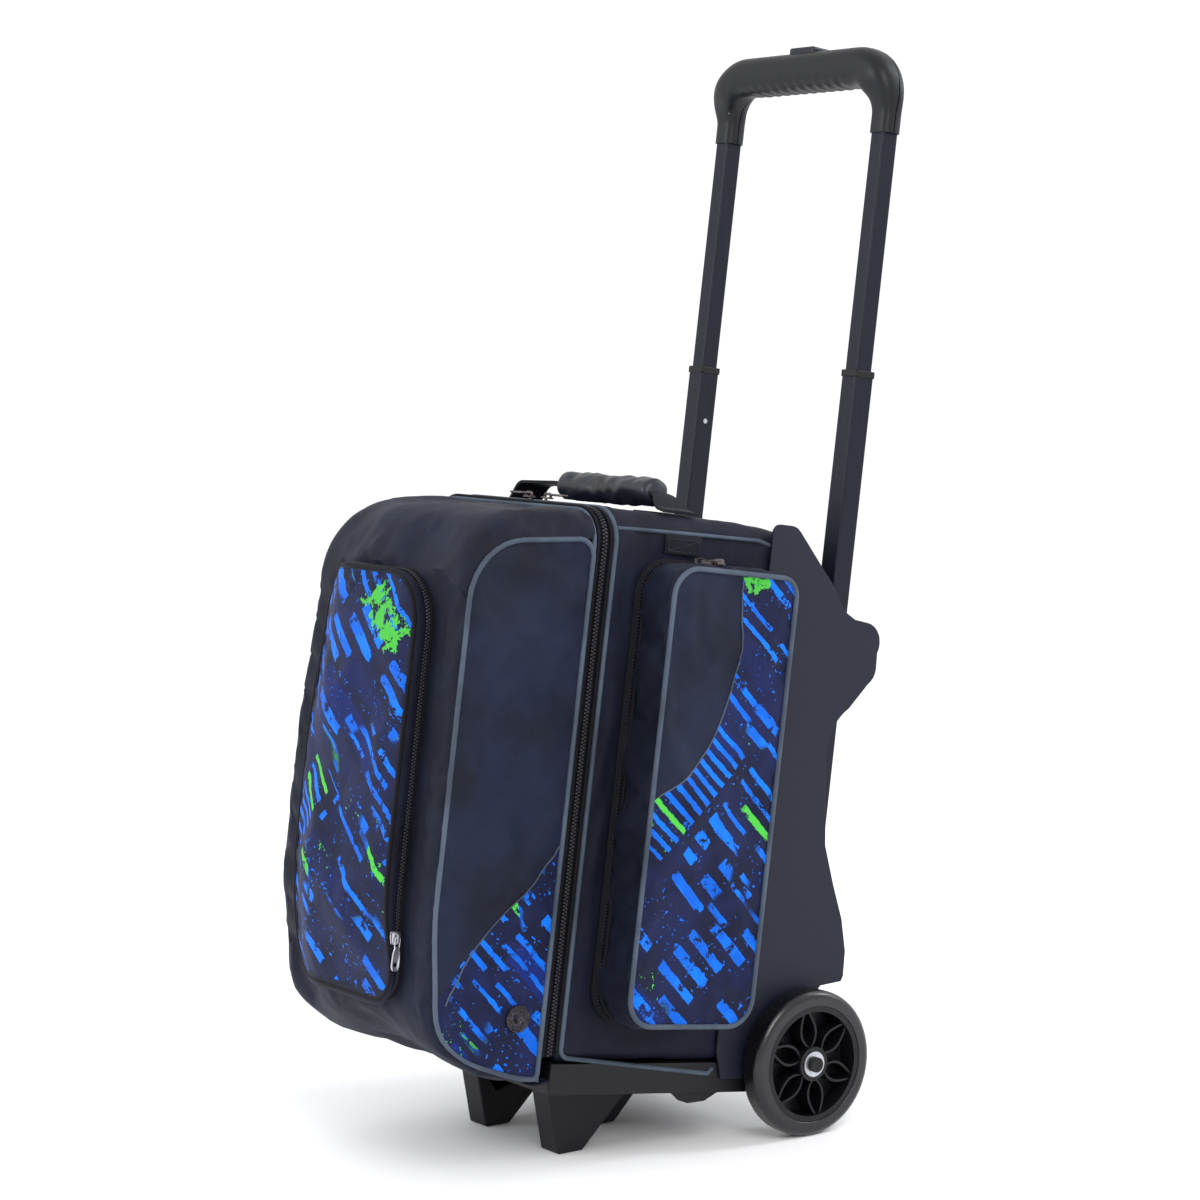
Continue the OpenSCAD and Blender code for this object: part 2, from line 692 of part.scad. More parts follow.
front_slider_z = 156;
module at_front_slider() {
    leaned() translate([front_half + gap, front_split_y, front_slider_z]) rotate([0, 90, 0]) children();
}
module front_slider() { color([0.3, 0.3, 0.32]) at_front_slider() slider(); }
module front_pull() {
    color([0.75, 0.75, 0.78]) at_front_slider() translate([0, 0, slider_h + 1.6]) mirror([1, 0, 0]) pull();
}
side_slider_y = -158;
module side_slider() {
    color([0.3, 0.3, 0.32]) leaned() translate([pocket_x0 + 0.1, side_slider_y, pocket_z1 + 5.8])
        rotate([0, 90, 0]) rotate([0, 0, 90]) {
            slider();
            translate([-slider_l / 2 - gap, 0, pull_t / 2 + 0.4]) pull();
        }
}
module side_slider_right() { side_slider(); }
module side_slider_left() { left() side_slider(); }

// ---- Nodes ----

base_tray();
front_feet();
centre_foot();
flank_right();
flank_left();
back_plate();
upper_bridge();
lower_bridge();
axle_housing();
axle();
axle_caps();
outer_tubes();
outer_collars();
tub_back();
tub_sides();
tub_top();
tub_floor();
lower_ball_cup();
ball_shelf();
upper_ball_cup();
side_zippers();
handle_anchors();
lid_band();
lid_sides();
lid_sleeve();
lid_badge();
front_pocket_base();
front_pocket_panel();
front_pocket_gusset();
side_panel_right();
side_gusset_right();
side_panel_left();
side_gusset_left();
middle_tubes();
middle_collars();
middle_glides();
lock_pins();
inner_tubes();
inner_glides();
grip_front_shell();
grip_rear_shell();
grip_screws();
release_button();
release_rods();
tyre_right();
rim_right();
bearings_right();
tyre_left();
rim_left();
bearings_left();
carry_strap();
carry_grip();
lid_slider_right();
lid_pull_right();
lid_slider_left();
lid_pull_left();
front_slider();
front_pull();
side_slider_right();
side_slider_left();
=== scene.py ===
"""A two-ball roller bag: padded cloth on a moulded rear frame, with two wheels and a pull handle."""
import json
import math

import bmesh
import bpy
import numpy as np
from mathutils import Matrix, Vector
from mathutils.noise import noise


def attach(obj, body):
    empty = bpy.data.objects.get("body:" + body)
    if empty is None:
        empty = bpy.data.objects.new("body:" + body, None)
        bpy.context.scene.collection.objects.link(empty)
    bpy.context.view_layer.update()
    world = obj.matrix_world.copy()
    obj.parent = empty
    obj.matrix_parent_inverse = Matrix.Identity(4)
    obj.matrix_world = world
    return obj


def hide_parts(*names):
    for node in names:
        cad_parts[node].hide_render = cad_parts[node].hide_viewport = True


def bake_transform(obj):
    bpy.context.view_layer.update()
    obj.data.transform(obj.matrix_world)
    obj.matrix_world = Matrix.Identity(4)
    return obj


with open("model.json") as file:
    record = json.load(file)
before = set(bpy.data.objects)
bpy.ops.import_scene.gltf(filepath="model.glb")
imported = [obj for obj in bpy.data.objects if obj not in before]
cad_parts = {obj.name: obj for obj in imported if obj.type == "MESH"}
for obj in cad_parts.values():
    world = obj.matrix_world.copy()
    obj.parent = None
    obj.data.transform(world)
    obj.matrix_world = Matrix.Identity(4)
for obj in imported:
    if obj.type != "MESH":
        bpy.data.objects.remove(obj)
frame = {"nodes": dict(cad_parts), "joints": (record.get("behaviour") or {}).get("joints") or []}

scene = bpy.context.scene
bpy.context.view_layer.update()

# ---- Stance ----
# The bag leans back on its feet and wheels. Its pieces are drawn upright, in millimetres, with x across,
# y the depth behind the axle and z the height along the bag, and then lean back together.
mm = 0.001
joints = {joint["name"]: joint for joint in frame["joints"]}
axle = Vector(joints["wheel_right_spin"]["pos_m"])
up = Vector(joints["lower_tubes"]["axis"])
lean = Matrix(((1, 0, 0, 0), (0, up.z, up.y, axle.y), (0, -up.y, up.z, 0), (0, 0, 0, 1)))
middle = np.array([0, -210, 290])

# ---- Camera, floor and light ----
# A photographer's white table with two large soft lamps and a strip lamp behind.
camera = bpy.data.objects.new("camera", bpy.data.cameras.new("camera"))
camera.data.lens = 92.345
camera.data.clip_end = 60
camera.location = (2.1525, axle.y - 1.6763, 0.7106)
camera.rotation_euler = (math.radians(84.63), 0, math.radians(54.1405))
scene.collection.objects.link(camera)
scene.camera = camera


class Wire:
    """A socket in a look. Arithmetic on wires adds Math nodes."""

    def __init__(self, look, socket):
        self.look = look
        self.socket = socket

    def maths(self, operation, *others):
        values = {place: value for place, value in enumerate((self, *others))}
        return self.look.node("Math", {"operation": operation}, values)

    def __add__(self, other):
        return self.maths("ADD", other)

    def __sub__(self, other):
        return self.maths("SUBTRACT", other)

    def __rsub__(self, other):
        return self.look.node("Math", {"operation": "SUBTRACT"}, {0: other, 1: self})

    def __mul__(self, other):
        return self.maths("MULTIPLY", other)

    def __gt__(self, other):
        return self.maths("GREATER_THAN", other)

    def __lt__(self, other):
        return self.maths("LESS_THAN", other)

    __radd__ = __add__
    __rmul__ = __mul__

    def whole(self):
        return self.maths("FLOOR")

    def part(self):
        return self.maths("FRACT")

    def sine(self):
        return self.maths("SINE")

    def between(self, low, high):
        """0 below low and 1 above high, with a smooth step between."""
        values = {"Value": self, "From Min": low, "From Max": high}
        return self.look.node("MapRange", {"interpolation_type": "SMOOTHSTEP"}, values)


class Look:
    """A finish made of nodes round one shader."""

    def __init__(self, name, **constants):
        self.material = bpy.data.materials.new(name)
        self.material.use_nodes = True
        self.tree = self.material.node_tree
        self.shader = self.tree.nodes["Principled BSDF"]
        for socket, value in constants.items():
            self.shader.inputs[socket.replace("_", " ")].default_value = value

    def node(self, kind, settings={}, values={}, out=0):
        made = self.tree.nodes.new("ShaderNode" + kind)
        for name, value in settings.items():
            setattr(made, name, value)
        for place, value in values.items():
            self.plug(made.inputs[place], value)
        return Wire(self, made.outputs[out])

    def plug(self, socket, value):
        if isinstance(value, Wire):
            self.tree.links.new(value.socket, socket)
        else:
            socket.default_value = value

    def wear(self, **wires):
        """Feeds the shader's varying sockets."""
        for socket, wire in wires.items():
            self.plug(self.shader.inputs[socket.replace("_", " ")], wire)

    def finish(self, share, first, second, rough, spread):
        """Two colours shared out over the surface, and a roughness that follows them."""
        self.wear(Base_Color=self.mixed(share, first, second), Roughness=rough + share * spread)

    def place(self):
        return self.node("TexCoord", out="Object")

    def axes(self):
        made = self.node("SeparateXYZ", {}, {0: self.place()})
        return [Wire(self, made.socket.node.outputs[i]) for i in range(3)]

    def weave(self, pitch):
        """A square weave, from -1 to 1."""
        x, y, z = self.axes()
        turns = 2 * math.pi / (pitch * mm)
        return ((x + y + z * 0.5) * turns).sine() * ((z + (y - x) * 0.7) * turns).sine()

    def cloud(self, scale, detail=2.0, rough=0.5, at=None):
        values = {"Vector": at or self.place(), "Scale": scale, "Detail": detail, "Roughness": rough}
        return self.node("TexNoise", {}, values)

    def mixed(self, share, first, second):
        return self.node("Mix", {"data_type": "RGBA"}, {0: share, 6: first, 7: second}, 2)

    def bump(self, height, depth, strength=1.0):
        values = {"Height": height, "Distance": depth, "Strength": strength}
        self.plug(self.shader.inputs["Normal"], self.node("Bump", {}, values))


def paint(r, g, b):
    """A colour given as it looks on a screen, 0 to 255."""
    return (*[((c / 255 + 0.055) / 1.055) ** 2.4 if c > 10 else c / 3295 for c in (r, g, b)], 1)


def piece(name, points, faces, body, look, hides=(), crisp=40, place=lean):
    """A mesh piece from points in millimetres."""
    points = np.array(points, float).reshape(-1, 3)
    if body in settle:
        points = settle[body](points)
    mesh = bpy.data.meshes.new(name)
    mesh.from_pydata((points * mm).tolist(), [], faces)
    tidy = bmesh.new()
    tidy.from_mesh(mesh)
    bmesh.ops.remove_doubles(tidy, verts=tidy.verts, dist=0.02 * mm)
    bmesh.ops.recalc_face_normals(tidy, faces=tidy.faces)
    tidy.to_mesh(mesh)
    tidy.free()
    mesh.polygons.foreach_set("use_smooth", [True] * len(mesh.polygons))
    mesh.set_sharp_from_angle(angle=math.radians(crisp))
    mesh.materials.append(look.material)
    made = bpy.data.objects.new(name, mesh)
    scene.collection.objects.link(made)
    made.matrix_world = place
    if body:
        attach(made, body)
    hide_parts(*hides)
    return made


# How the soft bodies sag. Each body's function moves its pieces' points before they lean back.
settle = {}
table_look = Look("table", Base_Color=(0.9, 0.9, 0.9, 1), Roughness=0.7)
table_look.wear(Base_Color=table_look.mixed(table_look.cloud(3), paint(252, 252, 254), paint(255, 255, 255)))
half_table = 12000
corners = [[-half_table, -half_table, 0], [half_table, -half_table, 0], [half_table, half_table, 0],
           [-half_table, half_table, 0]]
table = piece("table", corners, [(0, 1, 2, 3)], None, table_look, place=Matrix.Identity(4))


def lamp(name, at, aim, width, height, watts, colour):
    light = bpy.data.lights.new(name, "AREA")
    light.shape = "RECTANGLE"
    light.size = width
    light.size_y = height
    light.energy = watts
    light.color = colour
    made = bpy.data.objects.new(name, light)
    made.location = at
    made.rotation_euler = (Vector(aim) - Vector(at)).to_track_quat("-Z", "Y").to_euler()
    scene.collection.objects.link(made)


lamp("key_lamp", (2.6, -1.0, 2.3), (0, 0, 0.4), 1.4, 1.8, 52, (1, 0.99, 0.98))
lamp("front_lamp", (-1.2, -2.8, 1.7), (0, 0, 0.3), 1.2, 1.8, 40, (0.93, 0.96, 1))
lamp("back_lamp", (0.9, 2.4, 2.0), (0, 0, 0.5), 0.6, 2.0, 30, (0.9, 0.92, 1))
world = bpy.data.worlds.new("studio")
world.use_nodes = True
world.node_tree.nodes["Background"].inputs["Color"].default_value = (1, 1, 1, 1)
world.node_tree.nodes["Background"].inputs["Strength"].default_value = 1.06
scene.world = world
scene.view_settings.view_transform = "Standard"

# ---- Wheels ----
# Five inch wheels: a glossy urethane tyre on a nylon rim with leaf-shaped spokes, turning on two steel
# bearings. They are held on the axle by push-on caps.
def dress(look, *nodes):
    for name in nodes:
        for place in frame["nodes"][name].material_slots:
            place.material = look.material


def soften(width, *nodes):
    """Rounds the edges of moulded pieces, which come out of a mould with a small radius."""
    for name in nodes:
        node = frame["nodes"][name]
        weld = node.modifiers.new("weld", "WELD")
        weld.merge_threshold = 0.01 * mm
        bevel = node.modifiers.new("edges", "BEVEL")
        bevel.width = width * mm
        bevel.segments = 2
        bevel.limit_method = "ANGLE"
        bevel.angle_limit = math.radians(32)
        bevel.harden_normals = False


def moulded(name, colour, grain=0.35, roughness=0.42, pitch=2600):
    """Moulded plastic with a fine spark grain and a little handling wear."""
    look = Look(name, Specular_IOR_Level=0.28)
    tone = look.cloud(22, 3)
    darker = tuple(c * 0.7 for c in colour[:3]) + (1,)
    scuff = look.cloud(240, 4, 0.7).between(0.62, 0.74)
    look.wear(Base_Color=look.mixed(tone, darker, colour), Roughness=roughness + tone * 0.14 - scuff * 0.08)
    look.bump(look.cloud(pitch, 2), 0.08 * mm, grain)
    return look


tyre_look = Look("tyre", Specular_IOR_Level=0.4, Coat_Weight=0.25, Coat_Roughness=0.12)
smear = tyre_look.cloud(60, 3)
tyre_look.finish(smear, paint(5, 5, 8), paint(13, 14, 20), 0.2, 0.16)
tyre_look.bump(tyre_look.cloud(900, 2), 0.05 * mm, 0.3)
rim_look = moulded("rim", paint(12, 12, 17), 0.3, 0.3)
steel_look = Look("steel", Metallic=1.0)
brushed = steel_look.cloud(420, 3)
steel_look.finish(brushed, paint(150, 152, 158), paint(206, 208, 212), 0.22, 0.2)
dress(tyre_look, "tyre_right", "tyre_left")
dress(rim_look, "rim_right", "rim_left")
dress(steel_look, "bearings_right", "bearings_left", "axle")
dress(moulded("axle_cap", paint(14, 14, 18)), "axle_caps")
soften(0.5, "rim_right", "rim_left", "axle_caps")

# ---- Rear frame, base and feet ----
# Glass-filled nylon mouldings: two flanks, a back plate, two cross members and a tray with its feet. They are
# screwed together round the cloth, and the axle runs through the lower one.
frame_look = moulded("frame", paint(20, 23, 40), 0.4, 0.46)
base_look = moulded("base", paint(11, 11, 17), 0.4, 0.4)
dress(frame_look, "flank_right", "flank_left")
dress(base_look, "back_plate", "upper_bridge", "lower_bridge", "axle_housing", "base_tray", "front_feet",
      "centre_foot", "outer_collars", "middle_collars", "middle_glides", "inner_glides")
soften(0.9, "flank_right", "flank_left")
soften(1.6, "upper_bridge", "lower_bridge", "base_tray", "front_feet", "centre_foot", "axle_housing")
soften(0.8, "back_plate", "outer_collars", "middle_collars")

# ---- Pull handle tubes ----
# Square aluminium tubes in three stages, anodised black. Sprung steel pins lock them.
tube_look = Look("tube", Metallic=0.3, Specular_IOR_Level=0.35)
drawn = tube_look.node("Mapping", {}, {"Vector": tube_look.place(), "Scale": (900, 900, 12)})
draw_lines = tube_look.cloud(1, 3, 0.6, at=drawn)
tube_look.finish(draw_lines, paint(6, 6, 14), paint(20, 22, 42), 0.27, 0.14)
tube_look.bump(draw_lines, 0.02 * mm, 0.3)
dress(tube_look, "outer_tubes", "middle_tubes", "inner_tubes")
dress(steel_look, "lock_pins", "release_rods", "grip_screws")


# ---- Grip ----
# Two moulded shells clamped round the tops of the tubes. The hand bar has finger ridges underneath and a
# sprung button on top that lets the tubes down.
def filleted(corners, radii, runs, bend=8, loop=False):
    """A line through corners, rounded by an arc at each. runs says how many steps each straight run takes."""
    corners = [np.array(c, float) for c in corners]
    count = len(corners)
    ends, points = [], []
    for i, corner in enumerate(corners):
        if not loop and i in (0, count - 1):
            ends.append([corner])
            continue
        to = [corners[(i + step) % count] - corner for step in (-1, 1)]
        a, b = [t / np.linalg.norm(t) for t in to]
        half = math.acos(np.clip(a @ b, -1, 1)) / 2
        radius = radii[i] if len(radii) == count else radii[i - 1]
        centre = corner + (a + b) / np.linalg.norm(a + b) * radius / math.sin(half)
        start, stop = corner + a * radius / math.tan(half), corner + b * radius / math.tan(half)
        turn = math.pi - 2 * half
        u = (start - centre) / radius
        v = (stop - centre) / radius
        v = (v - u * math.cos(turn)) / math.sin(turn)
        ends.append([centre + radius * (u * math.cos(turn * k / bend) + v * math.sin(turn * k / bend))
                     for k in range(bend + 1)])
    for i in range(count):
        points.extend(ends[i])
        if i == count - 1 and not loop:
            break
        start, stop = ends[i][-1], ends[(i + 1) % count][0]
        steps = runs[i] if i < len(runs) else runs[-1]
        points.extend(start + (stop - start) * k / steps for k in range(1, steps))
    return np.array(points)


def facings(path, loop):
    """Unit directions along a path."""
    ahead = np.roll(path, -1, 0) - np.roll(path, 1, 0)
    if not loop:
        ahead[0], ahead[-1] = path[1] - path[0], path[-1] - path[-2]
    return ahead / np.linalg.norm(ahead, axis=1)[:, None]


def swept(path, section, out, loop=False):
    """Rings of a section carried along a path. The section's first number is measured along out, which is one
    direction or one for each point, and its second across both."""
    path = np.asarray(path, float)
    ahead = facings(path, loop)
    out = np.broadcast_to(np.asarray(out, float), path.shape)
    out = out - ahead * (out * ahead).sum(1)[:, None]
    out = out / np.linalg.norm(out, axis=1)[:, None]
    side = np.cross(ahead, out)
    section = np.asarray(section, float)
    if section.ndim == 2:
        section = np.broadcast_to(section, (len(path), *section.shape))
    return path[:, None] + section[..., :1] * out[:, None] + section[..., 1:] * side[:, None]


def wrap(rings, loop=False, first=0):
    """Faces round a run of rings, with its ends closed."""
    n, m = rings.shape[:2]
    faces = [(first + i * m + j, first + i * m + (j + 1) % m, first + (i + 1) % n * m + (j + 1) % m,
              first + (i + 1) % n * m + j) for i in range(n if loop else n - 1) for j in range(m)]
    if not loop:
        faces += [tuple(first + j for j in range(m)), tuple(first + (n - 1) * m + j for j in range(m))]
    return faces


def ring(radius_a, radius_b, count=12, power=2.0):
    """A round or squarish closed section."""
    angles = np.arange(count) * 2 * math.pi / count
    c, s = [np.sign(wave) * abs(wave) ** (2 / power) for wave in (np.cos(angles), np.sin(angles))]
    return np.stack([radius_a * c, radius_b * s], -1)


grip_low, grip_high = 911.0, 946.0
sleeve_low = 870.0
tube_x, tube_y = 109.0, -11.0
bar_z = (grip_low + grip_high) / 2
bar_y = -17.0
grip_path = filleted([[-tube_x, tube_y, sleeve_low], [-tube_x, tube_y, bar_z], [tube_x, tube_y, bar_z],
                      [tube_x, tube_y, sleeve_low]], [31, 31], [10, 72, 10], 14)
sections = []
for x, y, z in grip_path:
    on_bar = np.clip((z - 886) / 34, 0, 1)
    on_bar = on_bar * on_bar * (3 - 2 * on_bar)
    thick = 12.2 + 5.2 * on_bar
    deep = 10.5 + 6.5 * on_bar
    shape = ring(thick, deep, 40, 3.2 - 0.5 * on_bar)
    fingers = np.clip((72 - abs(x)) / 6, 0, 1) * 0.9 * math.cos(x * 2 * math.pi / 12.5)
    inner = shape[:, 0] < 0
    shape[inner, 0] += fingers * (abs(shape[inner, 0]) / thick) ** 2
    shape[:, 1] -= (bar_y - tube_y) * on_bar
    sections.append(shape)
outward = grip_path - np.array([0, tube_y, sleeve_low + 6])
outward[:, 1] = 0
outward[:11] = [-1, 0, 0]
outward[-11:] = [1, 0, 0]
grip_rings = swept(grip_path, np.array(sections), outward)
grip_look = moulded("grip", paint(15, 16, 24), 0.5, 0.36, 1800)


def halves(rings, cut, behind, count=240):
    """The part of each ring on one side of the clamp line, as rows of equal length."""
    rows = []
    for one in rings:
        angle = np.arange(len(one) + 1)
        closed = np.vstack([one, one[:1]])
        stops = np.linspace(0, len(one), count + 1)[:-1]
        fine = np.stack([np.interp(stops, angle, closed[:, k]) for k in range(3)], -1)
        keep = fine[:, 1] > cut if behind else fine[:, 1] < cut
        first = next(i for i in range(count) if keep[i] and not keep[i - 1])
        run = [fine[(first + k) % count] for k in range(count) if keep[(first + k) % count]]
        run = np.array(run)
        along = np.concatenate([[0], np.cumsum(np.linalg.norm(np.diff(run, axis=0), axis=1))])
        even = np.linspace(0, along[-1], 28)
        rows.append(np.stack([np.interp(even, along, run[:, k]) for k in range(3)], -1))
    return np.array(rows)


def normals(grid, away, loop=False):
    """Unit normals of a grid of points that face away from a point. With loop, its rows close."""
    down = np.gradient(grid, axis=0)
    if loop:
        across = np.roll(grid, -1, 1) - np.roll(grid, 1, 1)
    else:
        across = np.gradient(grid, axis=1)
    made = np.cross(down, across)
    made /= np.maximum(np.linalg.norm(made, axis=2), 1e-9)[..., None]
    if (made * (grid - np.asarray(away))).sum() < 0:
        made = -made
    return made


def sandwich(outer, inner, loop=False):
    """Points and faces of the closed solid between two grids."""
    n, m = outer.shape[:2]
    points = np.concatenate([outer.reshape(-1, 3), inner.reshape(-1, 3)])
    faces = []
    last = m if loop else m - 1
    for i in range(n - 1):
        for j in range(last):
            a, b, c, d = i * m + j, i * m + (j + 1) % m, (i + 1) * m + (j + 1) % m, (i + 1) * m + j
            faces += [(a, b, c, d), (n * m + d, n * m + c, n * m + b, n * m + a)]
    rim = [[(i * m + j, i * m + (j + 1) % m) for j in range(last)] for i in (0, n - 1)]
    if not loop:
        rim += [[(i * m + j, (i + 1) * m + j) for i in range(n - 1)] for j in (0, m - 1)]
    faces += [(a, b, n * m + b, n * m + a) for run in rim for a, b in run]
    return points, faces


for name, behind in (("grip_front_shell", False), ("grip_rear_shell", True)):
    gap = 0.25 if behind else -0.25
    shell = halves(grip_rings, tube_y + gap, behind)
    inner = shell + (grip_path[:, None] - shell) * 0.16
    points, faces = sandwich(shell, inner)
    piece(name, points, faces, "upper_stage", grip_look, [name], 50)

button_look = moulded("button", paint(26, 27, 38), 0.4, 0.3)
dress(button_look, "release_button")
soften(2.2, "release_button")

# ---- Main compartment ----
# A tub of padded ballistic nylon sewn round a light board, with a piped seam at its mouth and along its
# edges. It is riveted to the back plate and the tray.
def cloth(name, deep, light, pitch=1.3, rough=0.58, crease=0.5):
    """Coated nylon with a square weave and soft creases."""
    look = Look(name, Specular_IOR_Level=0.16, Sheen_Weight=0.03, Sheen_Roughness=0.45,
                Sheen_Tint=(0.6, 0.68, 1, 1))
    weave = look.weave(pitch)
    tone = look.cloud(14, 4, 0.6)
    thread = look.cloud(700, 2)
    base = look.mixed(tone.between(0.3, 0.7), deep, light)
    between_threads = tuple(c * 0.45 for c in deep[:3]) + (1,)
    base = look.mixed(weave.between(-1.2, 1.4) * 0.3 + thread * 0.16, base, between_threads)
    look.wear(Base_Color=base, Roughness=rough + tone * 0.1 - weave * 0.04)
    folds = look.cloud(20, 4, 0.5) * (crease * 5 * mm) + look.cloud(120, 3) * (crease * 0.5 * mm)
    look.bump(folds + weave * (0.05 * mm), 1.0)
    return look


pack_look = cloth("pack_cloth", paint(13, 15, 28), paint(23, 27, 47))
lining_look = cloth("lining", paint(26, 27, 32), paint(38, 39, 46), 1.8, 0.7)
piping_look = cloth("piping", paint(58, 67, 80), paint(84, 96, 112), 0.8, 0.5, 0.1)
tape_look = cloth("zip_tape", paint(8, 8, 13), paint(15, 15, 22), 0.9, 0.66, 0.15)


def smooth(t):
    t = np.clip(t, 0, 1)
    return t * t * (3 - 2 * t)


def ripple(grid, size, seed):
    """Even noise, one value for each point, over lengths given by size in x, y and z."""
    flat = grid.reshape(-1, 3) / np.asarray(size, float) + seed * 7.3
    return np.array([noise(Vector(p)) for p in flat]).reshape(grid.shape[:-1])


def billow(grid, hold=None, loop=False, push=3.0, slack=0.02, reach=7.0, away=middle):
    """Lets a stitched cloth swell and buckle between the edges that its seams hold."""
    n, m = grid.shape[:2]
    faces = [(i * m + j, i * m + (j + 1) % m, (i + 1) * m + (j + 1) % m, (i + 1) * m + j)
             for i in range(n - 1) for j in range(m if loop else m - 1)]
    facing = normals(grid, away, loop)
    made = np.cross(grid[1, 0] - grid[0, 0], grid[0, 1] - grid[0, 0])
    if made @ facing[0, 0] < 0:
        faces = [face[::-1] for face in faces]
    mesh = bpy.data.meshes.new("billow")
    mesh.from_pydata((grid.reshape(-1, 3) * mm).tolist(), [], faces)
    made = bpy.data.objects.new("billow", mesh)
    scene.collection.objects.link(made)
    held = np.zeros((n, m), bool)
    held[[0, -1]] = True
    if not loop:
        held[:, [0, -1]] = True
    if hold is not None:
        held |= hold
    made.vertex_groups.new(name="seams").add([int(i) for i in np.flatnonzero(held.ravel())], 1.0, "REPLACE")
    sewn = made.modifiers.new("sewn", "CLOTH")
    thread = sewn.settings
    thread.quality = 6
    thread.tension_stiffness = thread.compression_stiffness = 25
    thread.bending_stiffness = 1.5
    thread.use_pressure = True
    thread.uniform_pressure_force = push
    thread.vertex_group_mass = "seams"
    thread.shrink_min = thread.shrink_max = -slack
    thread.effector_weights.gravity = 0
    sewn.point_cache.frame_start = 1
    sewn.point_cache.frame_end = 20
    for step in range(1, 21):
        scene.frame_set(step)
    shaped = made.evaluated_get(bpy.context.evaluated_depsgraph_get())
    moved = np.zeros(n * m * 3)
    shaped.data.vertices.foreach_get("co", moved)
    bpy.data.objects.remove(made)
    scene.frame_set(1)
    shift = moved.reshape(n, m, 3) / mm - grid
    length = np.linalg.norm(shift, axis=2)
    shift *= (np.minimum(length, reach) / np.maximum(length, 1e-9))[..., None]
    return grid + shift


tub_mouth, tub_back = -262.0, -27.2
tub_half, tub_low, tub_high = 121.5, 60.0, 518.0
wall = 4.0
rows = []
for y in np.linspace(tub_mouth, tub_back, 56):
    top_r = 30 - 15 * smooth((y - tub_mouth) / 50)
    fall = 0.94 * (y + 76 + math.hypot(y + 76, 9)) / 2
    high = tub_high + 3 * math.sin(min(1, (y - tub_mouth) / 180) * math.pi) - fall
    outline = filleted([[-tub_half, y, tub_low], [tub_half, y, tub_low], [tub_half, y, high],
                        [-tub_half, y, high]], [13, 13, top_r, top_r], [20, 90, 30, 90], 8, True)
    rows.append(outline)
tub_grid = np.array(rows)
tub_out = normals(tub_grid, [0, -145, 290], True)
slack_side = ripple(tub_grid, (40, 60, 22), 1) + 0.5 * ripple(tub_grid, (20, 16, 30), 2)
slack_mouth = ripple(tub_grid, (20, 9, 46), 3)
near_mouth = 1 - smooth((tub_grid[..., 1] + 244) / 14)
seam = smooth((tub_grid[..., 1] - tub_mouth) / 8)
dip = (-1.1 + 1.3 * slack_side) * (1 - near_mouth) + (1.0 + 2.2 * slack_mouth) * near_mouth
tub_skin = tub_grid + tub_out * (np.minimum(dip, 2.4 * near_mouth) * seam)[..., None]
points, faces = sandwich(tub_skin, tub_grid - tub_out * wall, True)
tub = piece("tub_skin", points, faces, "bag_body", pack_look,
            ["tub_sides", "tub_top", "tub_floor"])


def even(line, count):
    """The same line with its points spaced evenly."""
    along = np.concatenate([[0], np.cumsum(np.linalg.norm(np.diff(line, axis=0), axis=1))])
    stops = np.linspace(0, along[-1], count)
    return np.stack([np.interp(stops, along, line[:, k]) for k in range(3)], -1)


def patch(corners, radii, step=4.5, bend=8):
    """A grid over a rounded four-sided panel, and the closed line round it. Corners go from low left."""
    sides = [np.linalg.norm(np.subtract(corners[(i + 1) % 4], corners[i])) for i in range(4)]
    runs = [max(2, int(side / step)) for side in sides]
    loop = filleted(corners, radii, runs, bend, True)
    rolled = np.roll(loop, -bend // 2, 0)
    ends = np.cumsum([0] + [bend + run for run in runs])
    rolled = np.vstack([rolled, rolled[:1]])
    low, right, high, left = [rolled[ends[i]:ends[i + 1] + 1] for i in range(4)]
    columns = 1 + max(len(low), len(high)) * 3 // 4
    rows = 1 + max(len(right), len(left)) * 3 // 4
    low, high = even(low, columns), even(high[::-1], columns)
    right, left = even(right, rows), even(left[::-1], rows)
    s = np.linspace(0, 1, rows)[:, None, None]
    t = np.linspace(0, 1, columns)[None, :, None]
    grid = (1 - s) * low + s * high + (1 - t) * left[:, None] + t * right[:, None]
    grid -= (1 - s) * ((1 - t) * low[0] + t * low[-1]) + s * ((1 - t) * high[0] + t * high[-1])
    return grid, loop


def crown(grid, power=3.0):
    """1 at the middle of a grid and 0 at its edges."""
    n, m = grid.shape[:2]
    down = 1 - abs(np.linspace(-1, 1, n)) ** power
    across = 1 - abs(np.linspace(-1, 1, m)) ** power
    return down[:, None] * across


back_y, back_high = -31, 467
back_corners = [[x, back_y, z] for x, z in ((-117, 64.5), (117, 64.5), (117, back_high), (-117, back_high))]
back_grid, _ = patch(back_corners, [12, 12, 14, 14], 8)
quilted = crown(back_grid, 6) * (2.2 + 1.5 * ripple(back_grid, (60, 30, 60), 5))
back_face = back_grid - np.array([0, 1, 0]) * quilted[..., None]
points, faces = sandwich(back_face, back_grid + np.array([0, 3.8, 0]))
back_lining = piece("back_lining", points, faces, "bag_body", lining_look, ["tub_back"])


def pipe(name, path, body, out=(0, 1, 0), radius=2.1, loop=False, look=piping_look):
    """Cord in a folded bias strip, sewn into a seam."""
    rings = swept(path, ring(radius, radius), out, loop)
    return piece(name, rings, wrap(rings, loop), body, look, (), 60)


def arched(half, low, high, radius, y, step=5.0):
    """An open line up one side, over the top and down the other."""
    sides = int((high - low) / step)
    return filleted([[half, y, low], [half, y, high], [-half, y, high], [-half, y, low]], [radius, radius],
                    [sides, int(2 * half / step), sides], 12)


